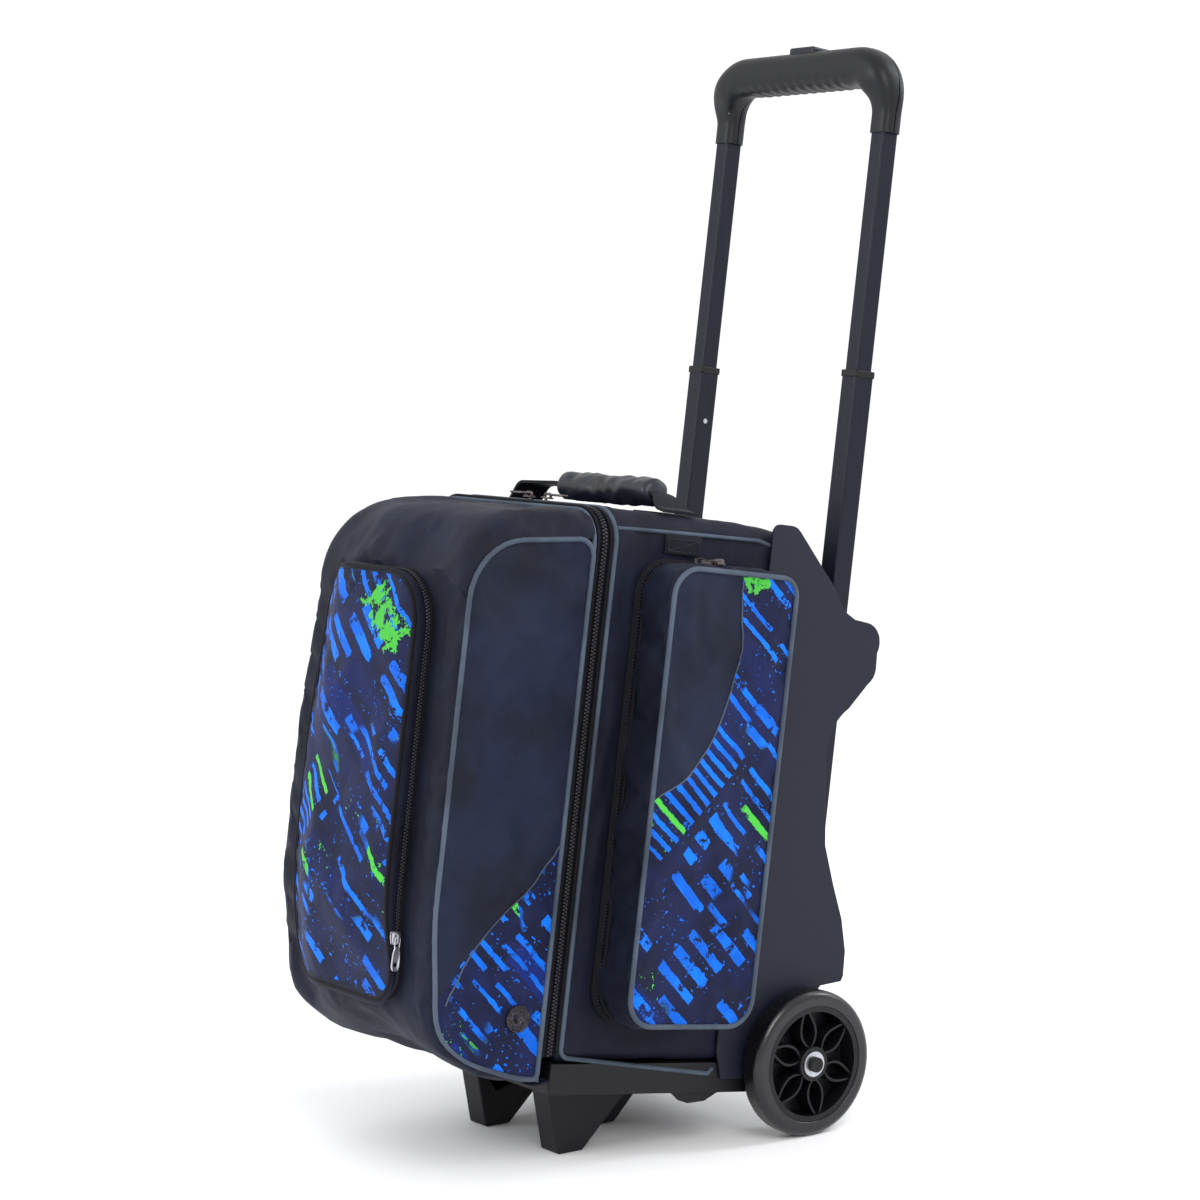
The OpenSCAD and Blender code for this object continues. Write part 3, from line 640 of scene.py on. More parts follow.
mouth_pipe = arched(tub_half + 0.6, tub_low + 14, tub_high + 0.4, 30, tub_mouth + 1.5)
pipe("tub_mouth_piping", mouth_pipe, "bag_body")
for name, side in (("right", 1), ("left", -1)):
    x = side * (tub_half + 0.2)
    along_top = filleted([[x - side * 4, tub_mouth + 4, 503], [x, -232, 504], [x, -112, 506],
                          [x - side * 1.5, -92, 502]], [60, 20], [4, 26, 4])
    pipe("tub_top_piping_" + name, along_top, "bag_body", (side, 0, 0), 1.7)
    along_floor = filleted([[x, tub_mouth + 1.5, 84], [x, tub_mouth + 1.5, 65.5], [x, -104, 50.5],
                            [x - side * 0.5, -99, 55]], [9, 2.5], [4, 30, 2])
    pipe("tub_low_piping_" + name, along_floor, "bag_body", (side, 0, 0), 2.0)


# ---- Ball cups and shelf ----
# Two moulded foam cups hold the balls. One stands on the floor of the bag and the other on a board shelf
# with a hole in it.
foam_look = Look("foam", Sheen_Weight=0.1)
cells = foam_look.cloud(900, 3, 0.7)
foam_look.finish(cells, paint(44, 46, 52), paint(70, 72, 80), 0.85, -0.1)
foam_look.bump(cells, 0.3 * mm, 0.7)
ball_r = 109.2
cup_y = -150.0
cup_high = 44.0
cup_deep = 104.5
for name, floor, side in (("lower_ball_cup", 64.0, 105.5), ("upper_ball_cup", 290.0, 111.5)):
    spread = np.linspace(-1, 1, 57)
    grid = np.array([[(x * side, cup_y + y * cup_deep, floor + cup_high) for x in spread] for y in spread])
    reach = np.hypot(grid[..., 0], grid[..., 1] - cup_y)
    bowl = floor + 6 + ball_r - np.sqrt(np.maximum(ball_r ** 2 - reach ** 2, 0))
    outwards = np.maximum(abs(grid[..., 0]) / side, abs(grid[..., 1] - cup_y) / cup_deep)
    rim = floor + cup_high - 5 * smooth((outwards - 0.95) / 0.05)
    top = np.where(reach < ball_r, np.minimum(bowl, rim), rim)
    grid[..., 2] = top
    base = grid.copy()
    base[..., 2] = floor + 0.05
    points, faces = sandwich(grid, base)
    cup = piece(name + "_foam", points, faces, "bag_body", foam_look, [name], 50)
dress(lining_look, "ball_shelf")
soften(1.2, "ball_shelf")

# ---- Main zipper ----
# A number ten coil zipper. One tape is sewn to the mouth of the tub and the other to the lid, and the coils
# stand on their facing edges.
coil_look = Look("coil", Specular_IOR_Level=0.35)
worn = coil_look.cloud(200, 3)
coil_look.finish(worn, paint(14, 14, 20), paint(40, 40, 50), 0.35, 0.2)


def teeth(name, path, out, side, body, spacing=3.0, across=2.4, tall=1.7, length=1.7, loop=False):
    """A row of coil turns along one edge of a tape."""
    path = np.asarray(path, float)
    if loop:
        path = np.vstack([path, path[:1]])
        out = np.vstack([out, out[:1]]) if np.ndim(out) > 1 else out
    along = np.concatenate([[0], np.cumsum(np.linalg.norm(np.diff(path, axis=0), axis=1))])
    stops = np.arange(spacing / 2 + (spacing / 2 if side > 0 else 0), along[-1] - 1, spacing)
    centres = np.stack([np.interp(stops, along, path[:, k]) for k in range(3)], -1)
    if np.ndim(out) > 1:
        out = np.stack([np.interp(stops, along, np.asarray(out)[:, k]) for k in range(3)], -1)
    ends = [swept(centres, [(tall * 0.1, side * 0.1), (tall * 0.6, side * 0.1), (tall, side * across * 0.4),
                            (tall * 0.7, side * across), (tall * 0.1, side * across)], out)]
    ahead = facings(centres, False)[:, None] * length / 2
    block = np.concatenate([ends[0] - ahead, ends[0] + ahead], 1)
    faces = []
    for i in range(len(block)):
        a = i * 10
        faces += [(a + j, a + (j + 1) % 5, a + 5 + (j + 1) % 5, a + 5 + j) for j in range(5)]
        faces += [tuple(a + j for j in range(5)), tuple(a + 5 + j for j in range(5))]
    return piece(name, block, faces, body, coil_look, (), 30)


def tape(name, path, out, side, body, width=9.5, thick=1.1, drop=1.2, loop=False, look=tape_look, near=0.25):
    """A woven zipper tape, a little hollow across its width."""
    edge = [(-drop, side * near), (-drop - 0.7, side * (near + width * 0.45)),
            (-drop + 0.4, side * (near + width))]
    under = [(a - thick, b) for a, b in edge[::-1]]
    rings = swept(path, edge + under, out, loop)
    return piece(name, rings, wrap(rings, loop), body, look, (), 70)


zip_y = -272.0
zip_line = arched(tub_half + 0.2, 66, tub_high - 0.8, 29, zip_y)
zip_out = np.cross([0, 1, 0], facings(zip_line, False))
for side, body, name in ((1, "bag_body", "tub"), (-1, "lid", "lid")):
    tape("main_zip_tape_" + name, zip_line, zip_out, side, body)
    teeth("main_zip_teeth_" + name, zip_line, zip_out, side, body)
    welt = arched(tub_half + 0.6, 66, tub_high - 0.2, 30, zip_y + side * 6.6)
    welt_out = np.cross([0, 1, 0], facings(welt, False))
    rings = swept(welt, ring(1.5, 1.3, 8), welt_out)
    piece("main_zip_welt_" + name, rings, wrap(rings), body, tape_look, (), 60)

# ---- Lid ----
# The front of the bag is a padded lid that opens forward on a cloth hinge along its lower edge. Two side
# panels are piped to a band that runs underneath, up the front and back over the top.
lid_half = 123.0
lid_rear = -283.0


def slump(points):
    """The empty lid sags back at its far corner, and its lower front edge tucks under and lifts."""
    x, y, z = points.T
    depth = 7 + 7 * smooth((z - 300) / 120) + 5 * smooth((200 - z) / 90)
    moved = points.copy()
    moved[:, 1] += depth * smooth((-x - 30) / 60) * smooth((-300 - y) / 80)
    moved[:, 1] += 11 * smooth((190 - z) / 110) * smooth((-325 - y) / 55)
    rise = 10 * smooth((-290 - y) / 70) + 13 * smooth(1 - abs(x - 20) / 105) * smooth((-300 - y) / 50)
    moved[:, 2] += rise * smooth((100 - z) / 55)
    return moved


settle["lid"] = slump
runs = [14, 88, 16]
lid_low, lid_front = 44.5, -403
profile = filleted([[0, lid_rear, lid_low], [0, lid_front, lid_low], [0, lid_front, 497], [0, lid_rear, 514.5]],
                   [62, 58], runs, 12)
outline = filleted([[0, lid_rear, 48], [0, -399, 52], [0, -399, 480], [0, lid_rear, 492]], [57, 52], runs, 12)
edge = 10 + 15 * smooth((profile[:, 2] - 430) / 50) + 4 * (1 - smooth((profile[:, 2] - 60) / 40))
spread = [math.sin(a) for a in np.linspace(0, math.pi / 2, 8)]
across = []
for p, s, e in zip(profile, outline, edge):
    bend = np.linspace(0, math.pi / 2, 8)
    right = [s + (p - s) * math.sin(a) + np.array([lid_half - e + e * math.cos(a), 0, 0]) for a in bend]
    flat = [p + np.array([x, 0, 0]) for x in np.linspace(lid_half - e, e - lid_half, 38)[1:-1]]
    left = [point * np.array([-1, 1, 1]) for point in right[::-1]]
    across.append([*right, *flat, *left])
band = np.array(across)
lid_middle = np.array([0, -340, 280])
band_out = normals(band, lid_middle)
full = crown(band, 4)
on_front = smooth((-380 - band[..., 1]) / 15)
on_top = smooth((band[..., 2] - 470) / 25)
folds = ripple(band, (62, 34, 52), 11) * 4.4 + ripple(band, (26, 18, 24), 12) * 1.4
corner = smooth((band[..., 2] - 420) / 40) * smooth((-345 - band[..., 1]) / 20)
plump = full * (1.0 + 2.5 * on_front + folds * (0.6 + 0.8 * corner) * (1 - 0.5 * on_top))
behind_pocket = ((abs(band[..., 0] - 9) < 93) & (band[..., 2] > 102) & (band[..., 2] < 451)
                 & (band[..., 1] < -390))
plump = np.where(behind_pocket, np.minimum(plump, 0.6), plump)
band_skin = band + band_out * plump[..., None]
band_skin = billow(band_skin, behind_pocket, False, 0.7, 0.02, 4, lid_middle)
band_inner = band - band_out * wall
points, faces = sandwich(band_skin, band_inner)
lid_band = piece("lid_band_skin", points, faces, "lid", pack_look, ["lid_band", "lid_sides"])

# Each side panel is plain above and printed below a seam that rises towards the zipper.
print_look = Look("printed_cloth", Specular_IOR_Level=0.16, Sheen_Weight=0.02, Sheen_Tint=(0.5, 0.6, 1, 1))


def printed(look, across, along, comb, leaf, plain=None):
    """A distressed print of slanting strokes. across and along are wires in millimetres. comb and leaf say
    where a row of short strokes and a green patch lie, across the strokes and along them, and comb's third
    number is half the row's length. plain masks the part that has no print."""
    wobble = look.cloud(170, 3, 0.6) - 0.5
    slant_a = across * 0.66 + along * 0.75 + wobble * 3.0
    slant_b = across * 0.75 - along * 0.66
    torn = look.cloud(85, 5, 0.75)

    def inside(wire, middle, half):
        return (wire - middle).maths("ABSOLUTE") < half

    def lanes(pitch, length, seed, thick, share, full):
        lane = (slant_a * (1 / pitch) + seed).whole()
        spot = (slant_a * (1 / pitch) + seed).part()
        shift = look.node("TexWhiteNoise", {"noise_dimensions": "1D"}, {"W": lane + seed})
        run = slant_b * (1 / length) + shift * 9 + wobble * 0.1
        values = {"Vector": look.node("CombineXYZ", {}, {0: lane, 1: run.whole(), 2: seed})}
        chance = look.node("TexWhiteNoise", {"noise_dimensions": "3D"}, values)
        return (spot < chance * 0.25 + thick) * (run.part() < full) * (chance < share), chance

    fine, fine_chance = lanes(13.0, 104, 3.7, 0.28, 0.7, 0.84)
    bold, bold_chance = lanes(19, 66, 11.3, 0.42, 0.6, 0.7)
    pale, pale_chance = lanes(34, 130, 5.1, 0.6, 0.5, 0.85)
    wide = look.cloud(9, 1).between(0.47, 0.5)
    spare = inside(slant_a, comb[0], comb[2] + 9) * inside(slant_b, comb[1], 33)
    stroke = (fine * (1 - wide) + bold * wide) * (1 - spare) * (torn < 0.57)
    bar_lane = slant_a * (1 / 10.5)
    bars = (bar_lane.part() < 0.42) * inside(slant_a, comb[0], comb[2]) * inside(slant_b, comb[1], 21)
    stroke = stroke.maths("MAXIMUM", bars)
    chance = (fine_chance * (1 - wide) + bold_chance * wide) * (1 - bars)
    bar = look.node("TexWhiteNoise", {"noise_dimensions": "1D"}, {"W": bar_lane.whole()})
    speck = (look.cloud(260, 2, 0.6) > 0.66) * (look.cloud(24, 2) > 0.48)
    blot = (look.cloud(46, 6, 0.85) > 0.65) * (look.cloud(20, 1) > 0.54) * (1 - spare)
    base = look.mixed(look.cloud(26, 3).between(0.35, 0.65), paint(12, 17, 44), paint(19, 27, 68))
    base = look.mixed(pale * pale_chance, base, paint(8, 44, 140))
    ink = look.mixed(look.cloud(34, 2).between(0.4, 0.6), paint(0, 92, 204), paint(0, 112, 234))
    is_green = (chance > 0.66) * (chance < 0.71) + bars * (bar > 0.8)
    ink = look.mixed(is_green, ink, paint(74, 190, 66))
    mark = stroke.maths("MAXIMUM", speck).maths("MAXIMUM", blot)
    tone = look.mixed(mark, base, ink)
    ragged = (look.cloud(40, 4, 0.8) - 0.5) * 60
    green = inside(slant_a + ragged, leaf[0], 13) * inside(slant_b + ragged, leaf[1], 30) * (torn < 0.54)
    tone = look.mixed(green, tone, paint(70, 176, 62))
    weave = look.weave(1.0)
    if plain is not None:
        grey = look.mixed(look.cloud(14, 4, 0.6).between(0.3, 0.7), paint(15, 18, 32), paint(25, 31, 54))
        tone = look.mixed(plain, tone, grey)
    tone = look.mixed(weave.between(-1.2, 1.4) * 0.14, tone, paint(6, 8, 18))
    look.wear(Base_Color=tone, Roughness=0.6 + weave * 0.04)
    folds = look.cloud(18, 4, 0.5) * (2.2 * mm) + look.cloud(110, 3) * (0.2 * mm)
    look.bump(folds + weave * (0.05 * mm), 1.0)


def attribute(made, name, values):
    made.data.attributes.new(name, "FLOAT", "POINT").data.foreach_set("value", np.asarray(values, np.float32))


def beyond(points, line):
    """Signed distance in millimetres of flat points from a line, positive on its right-hand side."""
    best = np.full(len(points), 1e9)
    sign = np.ones(len(points))
    for a, b in zip(line[:-1], line[1:]):
        run = b - a
        t = np.clip(((points - a) @ run) / (run @ run), 0, 1)
        gap = points - a - t[:, None] * run
        far = np.linalg.norm(gap, axis=1)
        turn = run[0] * (points[:, 1] - a[1]) - run[1] * (points[:, 0] - a[0])
        closer = far < best - 1e-6
        best = np.where(closer, far, best)
        sign = np.where(closer, np.where(turn < 0, 1, -1), sign)
    return best * sign


def curve(points, steps=10):
    """A smooth line through points."""
    points = [np.array(p, float) for p in points]
    points = [2 * points[0] - points[1], *points, 2 * points[-1] - points[-2]]
    made = []
    for a, b, c, d in zip(points, points[1:], points[2:], points[3:]):
        for t in np.arange(steps) / steps:
            made.append(0.5 * (2 * b + (c - a) * t + (2 * a - 5 * b + 4 * c - d) * t * t
                               + (3 * b - a - 3 * c + d) * t ** 3))
    return np.array([*made, points[-2]])


two_tone = Look("panel_cloth", Specular_IOR_Level=0.16, Sheen_Weight=0.02, Sheen_Tint=(0.5, 0.6, 1, 1))
axes = two_tone.axes()
plain_part = two_tone.node("Attribute", {"attribute_name": "plain"}, {}, 2) > 0
printed(two_tone, axes[1] * 1000, axes[2] * 1000, (95, -342, 62), (262, -442), plain_part)
front_axes = print_look.axes()
printed(print_look, front_axes[0] * 1000, front_axes[2] * 1000, (150, -208, 34), (338, -238))

lid_seam = curve([(-281, 245), (-302, 219), (-345, 169), (-372, 137), (-398, 96)])
badge_at = np.array([-309.0, 98.0])
for name, side in (("right", 1), ("left", -1)):
    x = side * lid_half
    grid, loop = patch([[x, -399, 52], [x, lid_rear, 48], [x, lid_rear, 492], [x, -399, 480]],
                       [57, 5, 14, 52], 4.5)
    soft = ripple(grid, (60, 50, 60), 21 + side) * 2.0 + ripple(grid, (30, 24, 20), 23) * 0.7
    near_badge = smooth((np.hypot(grid[..., 1] - badge_at[0], grid[..., 2] - badge_at[1]) - 11) / 14)
    swell = crown(grid, 4) * (2.6 + soft) * (0.25 + 0.75 * near_badge)
    skin = grid + np.array([side, 0, 0]) * swell[..., None]
    skin = billow(skin, near_badge < 0.05, False, 1.0, 0.012, 3.5, lid_middle)
    points, faces = sandwich(skin, grid - np.array([side * wall, 0, 0]))
    made = piece("lid_side_panel_" + name, points, faces, "lid", two_tone)
    flat = np.array([(v.co.y / mm, v.co.z / mm) for v in made.data.vertices])
    attribute(made, "plain", beyond(flat, lid_seam))
    pipe("lid_side_piping_" + name, loop + np.array([side * 0.6, 0, 0]), "lid", (side, 0, 0), 2.2, True)
    close = [np.argmin(np.hypot(grid[..., 1] - y, grid[..., 2] - z)) for y, z in lid_seam[2:-3]]
    seam_line = skin.reshape(-1, 3)[close]
    seam_line = np.stack([seam_line[:, 0] + side * 0.1, lid_seam[2:-3, 0], lid_seam[2:-3, 1]], -1)
    pipe("lid_print_seam_" + name, seam_line, "lid", (side, 0, 0), 0.7)
rear_pipe = arched(lid_half - 0.6, 46, 514.8, 29, lid_rear + 0.5)
pipe("lid_rear_piping", rear_pipe, "lid", radius=2.0)

# A small pressed metal badge is riveted to the right side panel.
badge_look = Look("badge", Metallic=0.9)
etched = badge_look.cloud(520, 4, 0.7)
badge_look.wear(Base_Color=badge_look.mixed(etched.between(0.4, 0.6), paint(40, 37, 42), paint(72, 68, 74)),
                Roughness=0.38 + etched * 0.2)
badge_look.bump(etched, 0.2 * mm, 0.3)
turned = [(0.2, 0), (3.4, 1.3), (4.2, 2.0), (6.2, 2.0), (7.0, 1.3), (9.4, 1.4), (10.2, 2.4), (11.2, 2.3),
          (11.5, 1.2), (11.5, -1.5), (0.2, -1.5)]


def lathe(name, outline, at, face, body, look, hides=(), steps=40):
    """A turned piece: its outline is radius and height along face."""
    face = np.array(face, float)
    over = np.cross(face, [0.3, 0.2, 1.0])
    over /= np.linalg.norm(over)
    under = np.cross(face, over)
    rings = []
    for k in range(steps):
        a = 2 * math.pi * k / steps
        spoke = over * math.cos(a) + under * math.sin(a)
        rings.append([np.array(at) + spoke * r + face * h for r, h in outline])
    rings = np.array(rings)
    return piece(name, rings, wrap(rings, True), body, look, hides, 35)


lathe("lid_badge_disc", turned, (lid_half + 0.4, badge_at[0], badge_at[1]), (1, 0, 0), "lid", badge_look,
      ["lid_badge"])

# A mesh sleeve inside the lid holds shoes or a towel.
mesh_look = Look("mesh", Sheen_Weight=0.1)
mesh_axes = mesh_look.axes()
cell = 2 * math.pi / (3.2 * mm)
net = (mesh_axes[0] * cell).sine() * (mesh_axes[2] * cell).sine()
mesh_look.wear(Base_Color=mesh_look.mixed(net.between(-0.2, 0.4), paint(46, 48, 56), paint(16, 16, 20)),
               Roughness=0.75, Alpha=1 - (net > 0.34) * 0.85)
sleeve_corners = [[x, -279, z] for x, z in ((-116, 60), (116, 60), (116, 330), (-116, 330))]
sleeve, _ = patch(sleeve_corners, [6, 6, 4, 4], 8)
sag = crown(sleeve, 4) * (3 + 2 * ripple(sleeve, (50, 20, 60), 31))
sleeve_face = sleeve - np.array([0, 1, 0]) * sag[..., None]
points, faces = sandwich(sleeve_face, sleeve_face - np.array([0, 0.5, 0]))
sleeve_piece = piece("shoe_sleeve", points, faces, "lid", mesh_look, ["lid_sleeve"])
sleeve_hem = filleted([[-116, -279.4, 330], [0, -280.5, 329], [116, -279.4, 330]], [400], [16, 16])
hem_rings = swept(sleeve_hem, ring(1.2, 8, 12, 4), (0, 1, 0))
sleeve_binding = piece("shoe_sleeve_binding", hem_rings, wrap(hem_rings), "lid", tape_look)

# The hinge is a strip of the same cloth, sewn to the lid's lower edge and to the tray.
hinge_line = [(-288, 43.0), (-283, 42.2), (-277, 42.4), (-272, 43.5), (-268, 45.5), (-265.5, 49), (-264.5, 54),
              (-264, 60)]
hinge = np.array([[(x, y, z) for x in np.linspace(-119, 119, 40)] for y, z in hinge_line])
hinge_out = normals(hinge, [0, -275, 300])
points, faces = sandwich(hinge + hinge_out * 0.6, hinge - hinge_out * 0.6)
hinge_strip = piece("lid_hinge_strip", points, faces, None, pack_look)
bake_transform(hinge_strip)

# ---- Front pocket ----
# A printed pocket zipped to the lid. Its base ring stays on the lid, and the rest folds down from its lower
# edge, where the cloth is left slack.
front_half, front_low, front_high = 82.0, 104.0, 449.0
front_split = -409.15


def press(points):
    """The pocket is flatter along its lower edge and its far side."""
    x, y, z = points.T
    flat = 1 - 0.55 * smooth((220 - z) / 116) - 0.4 * smooth((-x - 10) / 70) * smooth((z - 130) / 60)
    moved = points.copy()
    moved[:, 1] = np.where(y < front_split, front_split + (y - front_split) * flat, y)
    return slump(moved)


settle["front_pocket"] = press


def front_loop(y, grow=0.0):
    a, low, high = front_half + grow, front_low - grow, front_high + grow
    return patch([[-a, y, low], [a, y, low], [a, y, high], [-a, y, high]],
                 [30 + grow, 30 + grow, 45 + grow, 45 + grow], 4.5)


def outwards(loop, across):
    """Directions away from the middle of a closed loop that lies square to across."""
    made = np.cross(facings(loop, True), across)
    return made if (made * (loop - loop.mean(0))).sum() > 0 else -made


def ring_wall(loop, outs, across, stops, wall_t, bulge):
    """Two grids for a cloth wall that stands on a loop. stops are places along across, and bulge is a grid of
    how far each point swells outwards."""
    across = np.asarray(across, float)
    grid = loop[None] + across * np.asarray(stops, float)[:, None, None]
    lining = np.minimum(bulge, 0) - wall_t
    return grid + outs[None] * bulge[..., None], grid + outs[None] * lining[..., None]


_, base_loop = front_loop(-400.0)
base_outs = outwards(base_loop, [0, 1, 0])
stops = np.linspace(0, 8.9, 6)
bulge = np.broadcast_to((1.6 * np.sin(stops / 8.9 * math.pi))[:, None], (6, len(base_loop)))
outer, inner = ring_wall(base_loop, base_outs, [0, -1, 0], stops, 3, bulge)
points, faces = sandwich(outer, inner, True)
base_ring = piece("front_pocket_base_ring", points, faces, "lid", tape_look,
                  ["front_pocket_base"])
_, gusset_loop = front_loop(front_split - 0.25)
stops = np.linspace(0, 12.6, 9)
sag = smooth((front_low + 26 - gusset_loop[:, 2]) / 30)
swell = np.sin(stops / 12.6 * math.pi)[:, None]
raw = np.array([gusset_loop + np.array([0, -s, 0]) for s in stops])
bulge = swell * (1.6 + 1.0 * ripple(raw, (12, 30, 12), 41) + sag * 5) + sag * stops[:, None] * 0.25
outer, inner = ring_wall(gusset_loop, base_outs, [0, -1, 0], stops, 3, bulge)
points, faces = sandwich(outer, inner, True)
gusset = piece("front_pocket_wall", points, faces, "front_pocket", pack_look,
               ["front_pocket_gusset"])
for body, side, name in (("lid", 1, "base"), ("front_pocket", -1, "front")):
    _, zip_loop = front_loop(front_split + side * 0.1, 1.4)
    outs = outwards(zip_loop, [0, 1, 0])
    tape("front_zip_tape_" + name, zip_loop, outs, side, body, 4.4, 0.9, 0.5, True)
    teeth("front_zip_teeth_" + name, zip_loop, outs, side, body, 2.8, 1.9, 1.4, 1.6, True)
_, base_welt = front_loop(-401.6, 2.0)
pipe("front_base_welt", base_welt, "lid", (0, -1, 0), 1.9, True, tape_look)
_, face_welt = front_loop(-421.2, 0.2)
face_sag = smooth((front_low + 26 - face_welt[:, 2]) / 30)
face_welt[:, 2] -= face_sag * 3.0
pipe("front_face_welt", face_welt, "front_pocket", (0, -1, 0), 1.9, True, tape_look)
face, _ = front_loop(-420.6)
face[..., 2] -= 3.0 * smooth((front_low + 26 - face[..., 2]) / 30)
low_belly = smooth((300 - face[..., 2]) / 160)
soft = 2.2 * ripple(face, (40, 30, 60), 43) + 0.8 * ripple(face, (18, 9, 26), 44)
swell = crown(face, 3.2) * (5.5 + 2.5 * low_belly + soft)
face_skin = billow(face - np.array([0, 1, 0]) * swell[..., None], None, False, 1.2, 0.015, 4, [0, -300, 280])
points, faces = sandwich(face_skin, face + np.array([0, 2.6, 0]))
front_face = piece("front_pocket_face", points, faces, "front_pocket", print_look,
                   ["front_pocket_panel"])

# ---- Side pockets ----
# One on each side, for shoes: a two-tone padded panel piped to a puckered wall. It is zipped to the tub on
# three sides and opens on its rear edge.
pocket_seam = curve([(-164.5, 490), (-159.5, 459), (-157, 417), (-162, 377), (-177, 335), (-202, 306),
                     (-236, 281)])
pocket_wall_x, pocket_face_x = 126.6, 170.0


def pocket_loop(x, grow=0.0):
    front, rear, low, high = -232 - grow, -104 + grow, 100 - grow, 477 + grow
    return patch([[x, front, low], [x, rear, low], [x, rear, high], [x, front, high]],
                 [24 + grow, 24 + grow, 16 + grow, 24 + grow], 4.5)


for name, side in (("right", 1), ("left", -1)):
    body = "side_pocket_" + name
    across = np.array([side, 0.0, 0.0])
    _, loop = pocket_loop(side * pocket_wall_x)
    outs = outwards(loop, across)
    stops = np.linspace(0, pocket_face_x - pocket_wall_x, 13)
    deep = stops[-1]
    raw = np.array([loop + across * s for s in stops])
    gathers = ripple(raw, (60, 10, 10), 51 + side) * 1.6 + ripple(raw, (30, 26, 26), 52) * 2.0
    free = np.where(loop[:, 1] > -112, 0.2, 1.0)
    bulge = np.sin(stops / deep * math.pi)[:, None] ** 0.7 * (1.8 + gathers) * free
    skin = raw + outs[None] * bulge[..., None]
    skin = billow(skin, None, True, 1.0, 0.045, 4, [side * 148, -168, 290])
    points, faces = sandwich(skin, raw - outs[None] * 3, True)
    made = piece("side_pocket_wall_" + name, points, faces, body, pack_look,
                 ["side_gusset_" + name])
    grid, edge_loop = pocket_loop(side * pocket_face_x)
    soft = 2.6 + ripple(grid, (60, 50, 70), 53 + side) * 1.6 + ripple(grid, (30, 20, 30), 54) * 0.6
    face_skin = grid + across * (crown(grid, 4) * soft)[..., None]
    face_skin = billow(face_skin, None, False, 1.0, 0.012, 3.0, [0, -168, 290])
    points, faces = sandwich(face_skin, grid - across * 2.5)
    made = piece("side_pocket_face_" + name, points, faces, body, two_tone,
                 ["side_panel_" + name])
    flat = np.array([(v.co.y / mm, v.co.z / mm) for v in made.data.vertices])
    attribute(made, "plain", beyond(flat, pocket_seam))
    pipe("side_pocket_piping_" + name, edge_loop + across * 0.8, body, across, 2.2, True)
    inside = pocket_seam[(pocket_seam[:, 0] > -228) & (pocket_seam[:, 1] < 474)]
    near = [np.argmin(np.hypot(grid[..., 1] - y, grid[..., 2] - z)) for y, z in inside]
    line = np.stack([face_skin.reshape(-1, 3)[near][:, 0] + side * 0.1, inside[:, 0], inside[:, 1]], -1)
    pipe("side_pocket_print_seam_" + name, line, body, across, 0.7)
    _, frame_loop = pocket_loop(side * 123.9)
    rings = swept(frame_loop, ring(5.4, 2.2, 16, 3), outwards(frame_loop, across), True)
    piece("side_zip_frame_" + name, rings, wrap(rings, True), "bag_body", tape_look,
          ["side_zippers"] if side > 0 else (), 60)
    for rides, hand, x in (("bag_body", -side, 126.3), (body, side, 127.0)):
        zip_path = ((-112, 98.4), (-233.6, 98.4), (-233.6, 478.6), (-112, 478.6))
        zip_corners = [[side * x, y, z] for y, z in zip_path]
        zip_run = filleted(zip_corners, [25.6, 25.6], [26, 80, 26])
        zip_outs = np.cross(facings(zip_run, False), [-1, 0, 0])
        label = name + ("_tub" if rides == "bag_body" else "_pocket")
        teeth("side_zip_teeth_" + label, zip_run, zip_outs, hand, rides, 2.8, 1.9, 1.4, 1.6)
    _, welt = pocket_loop(side * 132.5, 1.2)
    pipe("side_zip_welt_" + name, welt, body, across, 1.7, True, tape_look)

# ---- Carry handle ----
# Webbing from one side of the bag to the other, through a padded leatherette sleeve. Box stitching holds
# its ends.
web_look = cloth("webbing", paint(12, 13, 18), paint(22, 24, 33), 2.2, 0.6, 0.1)
thread_look = cloth("thread", paint(40, 44, 56), paint(56, 60, 74), 0.5, 0.6, 0.05)
carry_y = -192.0
web_half = 19.0


def stitched(name, corners, out, body, spacing=3.2):
    """A run of stitches: short lengths of thread that dip into the cloth."""
    length = np.linalg.norm(np.diff(corners, axis=0), axis=1).sum()
    line = even(np.array(corners, float), max(2, int(length / spacing)))
    blocks = []
    faces = []
    for a, b in zip(line[:-1], line[1:]):
        run = [a + (b - a) * t for t in (0.1, 0.3, 0.7, 0.9)]
        lift = [-0.2, 0.35, 0.35, -0.2]
        path = [p + np.asarray(out, float) * h for p, h in zip(run, lift)]
        rings = swept(path, ring(0.32, 0.32, 6), out)
        faces += wrap(rings, False, sum(len(block) for block in blocks))
        blocks.append(rings.reshape(-1, 3))
    return piece(name, np.concatenate(blocks), faces, body, thread_look, (), 60)


for name, side in (("right", 1), ("left", -1)):
    path = filleted([[side * 74, carry_y, tub_high + 1.4], [side * (tub_half + 1.2), carry_y, tub_high + 0.8],
                     [side * (tub_half + 1.2), carry_y, 487]], [24], [8, 6], 10)
    out = np.cross([0, 1, 0], facings(path, False)) * -side
    section = [(1.2, -web_half), (1.5, 0), (1.2, web_half), (-0.9, web_half), (-0.9, -web_half)]
    rings = swept(path, section, out)
    piece("handle_anchor_" + name, rings, wrap(rings), "bag_body", web_look,
          ["handle_anchors"] if side > 0 else (), 40)
    x = side * (tub_half + 2.5)
    box = [[x, carry_y - 16, 489], [x, carry_y + 16, 489], [x, carry_y + 16, 499], [x, carry_y - 16, 499],
           [x, carry_y - 16, 489], [x, carry_y + 16, 499]]
    stitched("handle_stitches_" + name, box, (side, 0, 0), "bag_body")

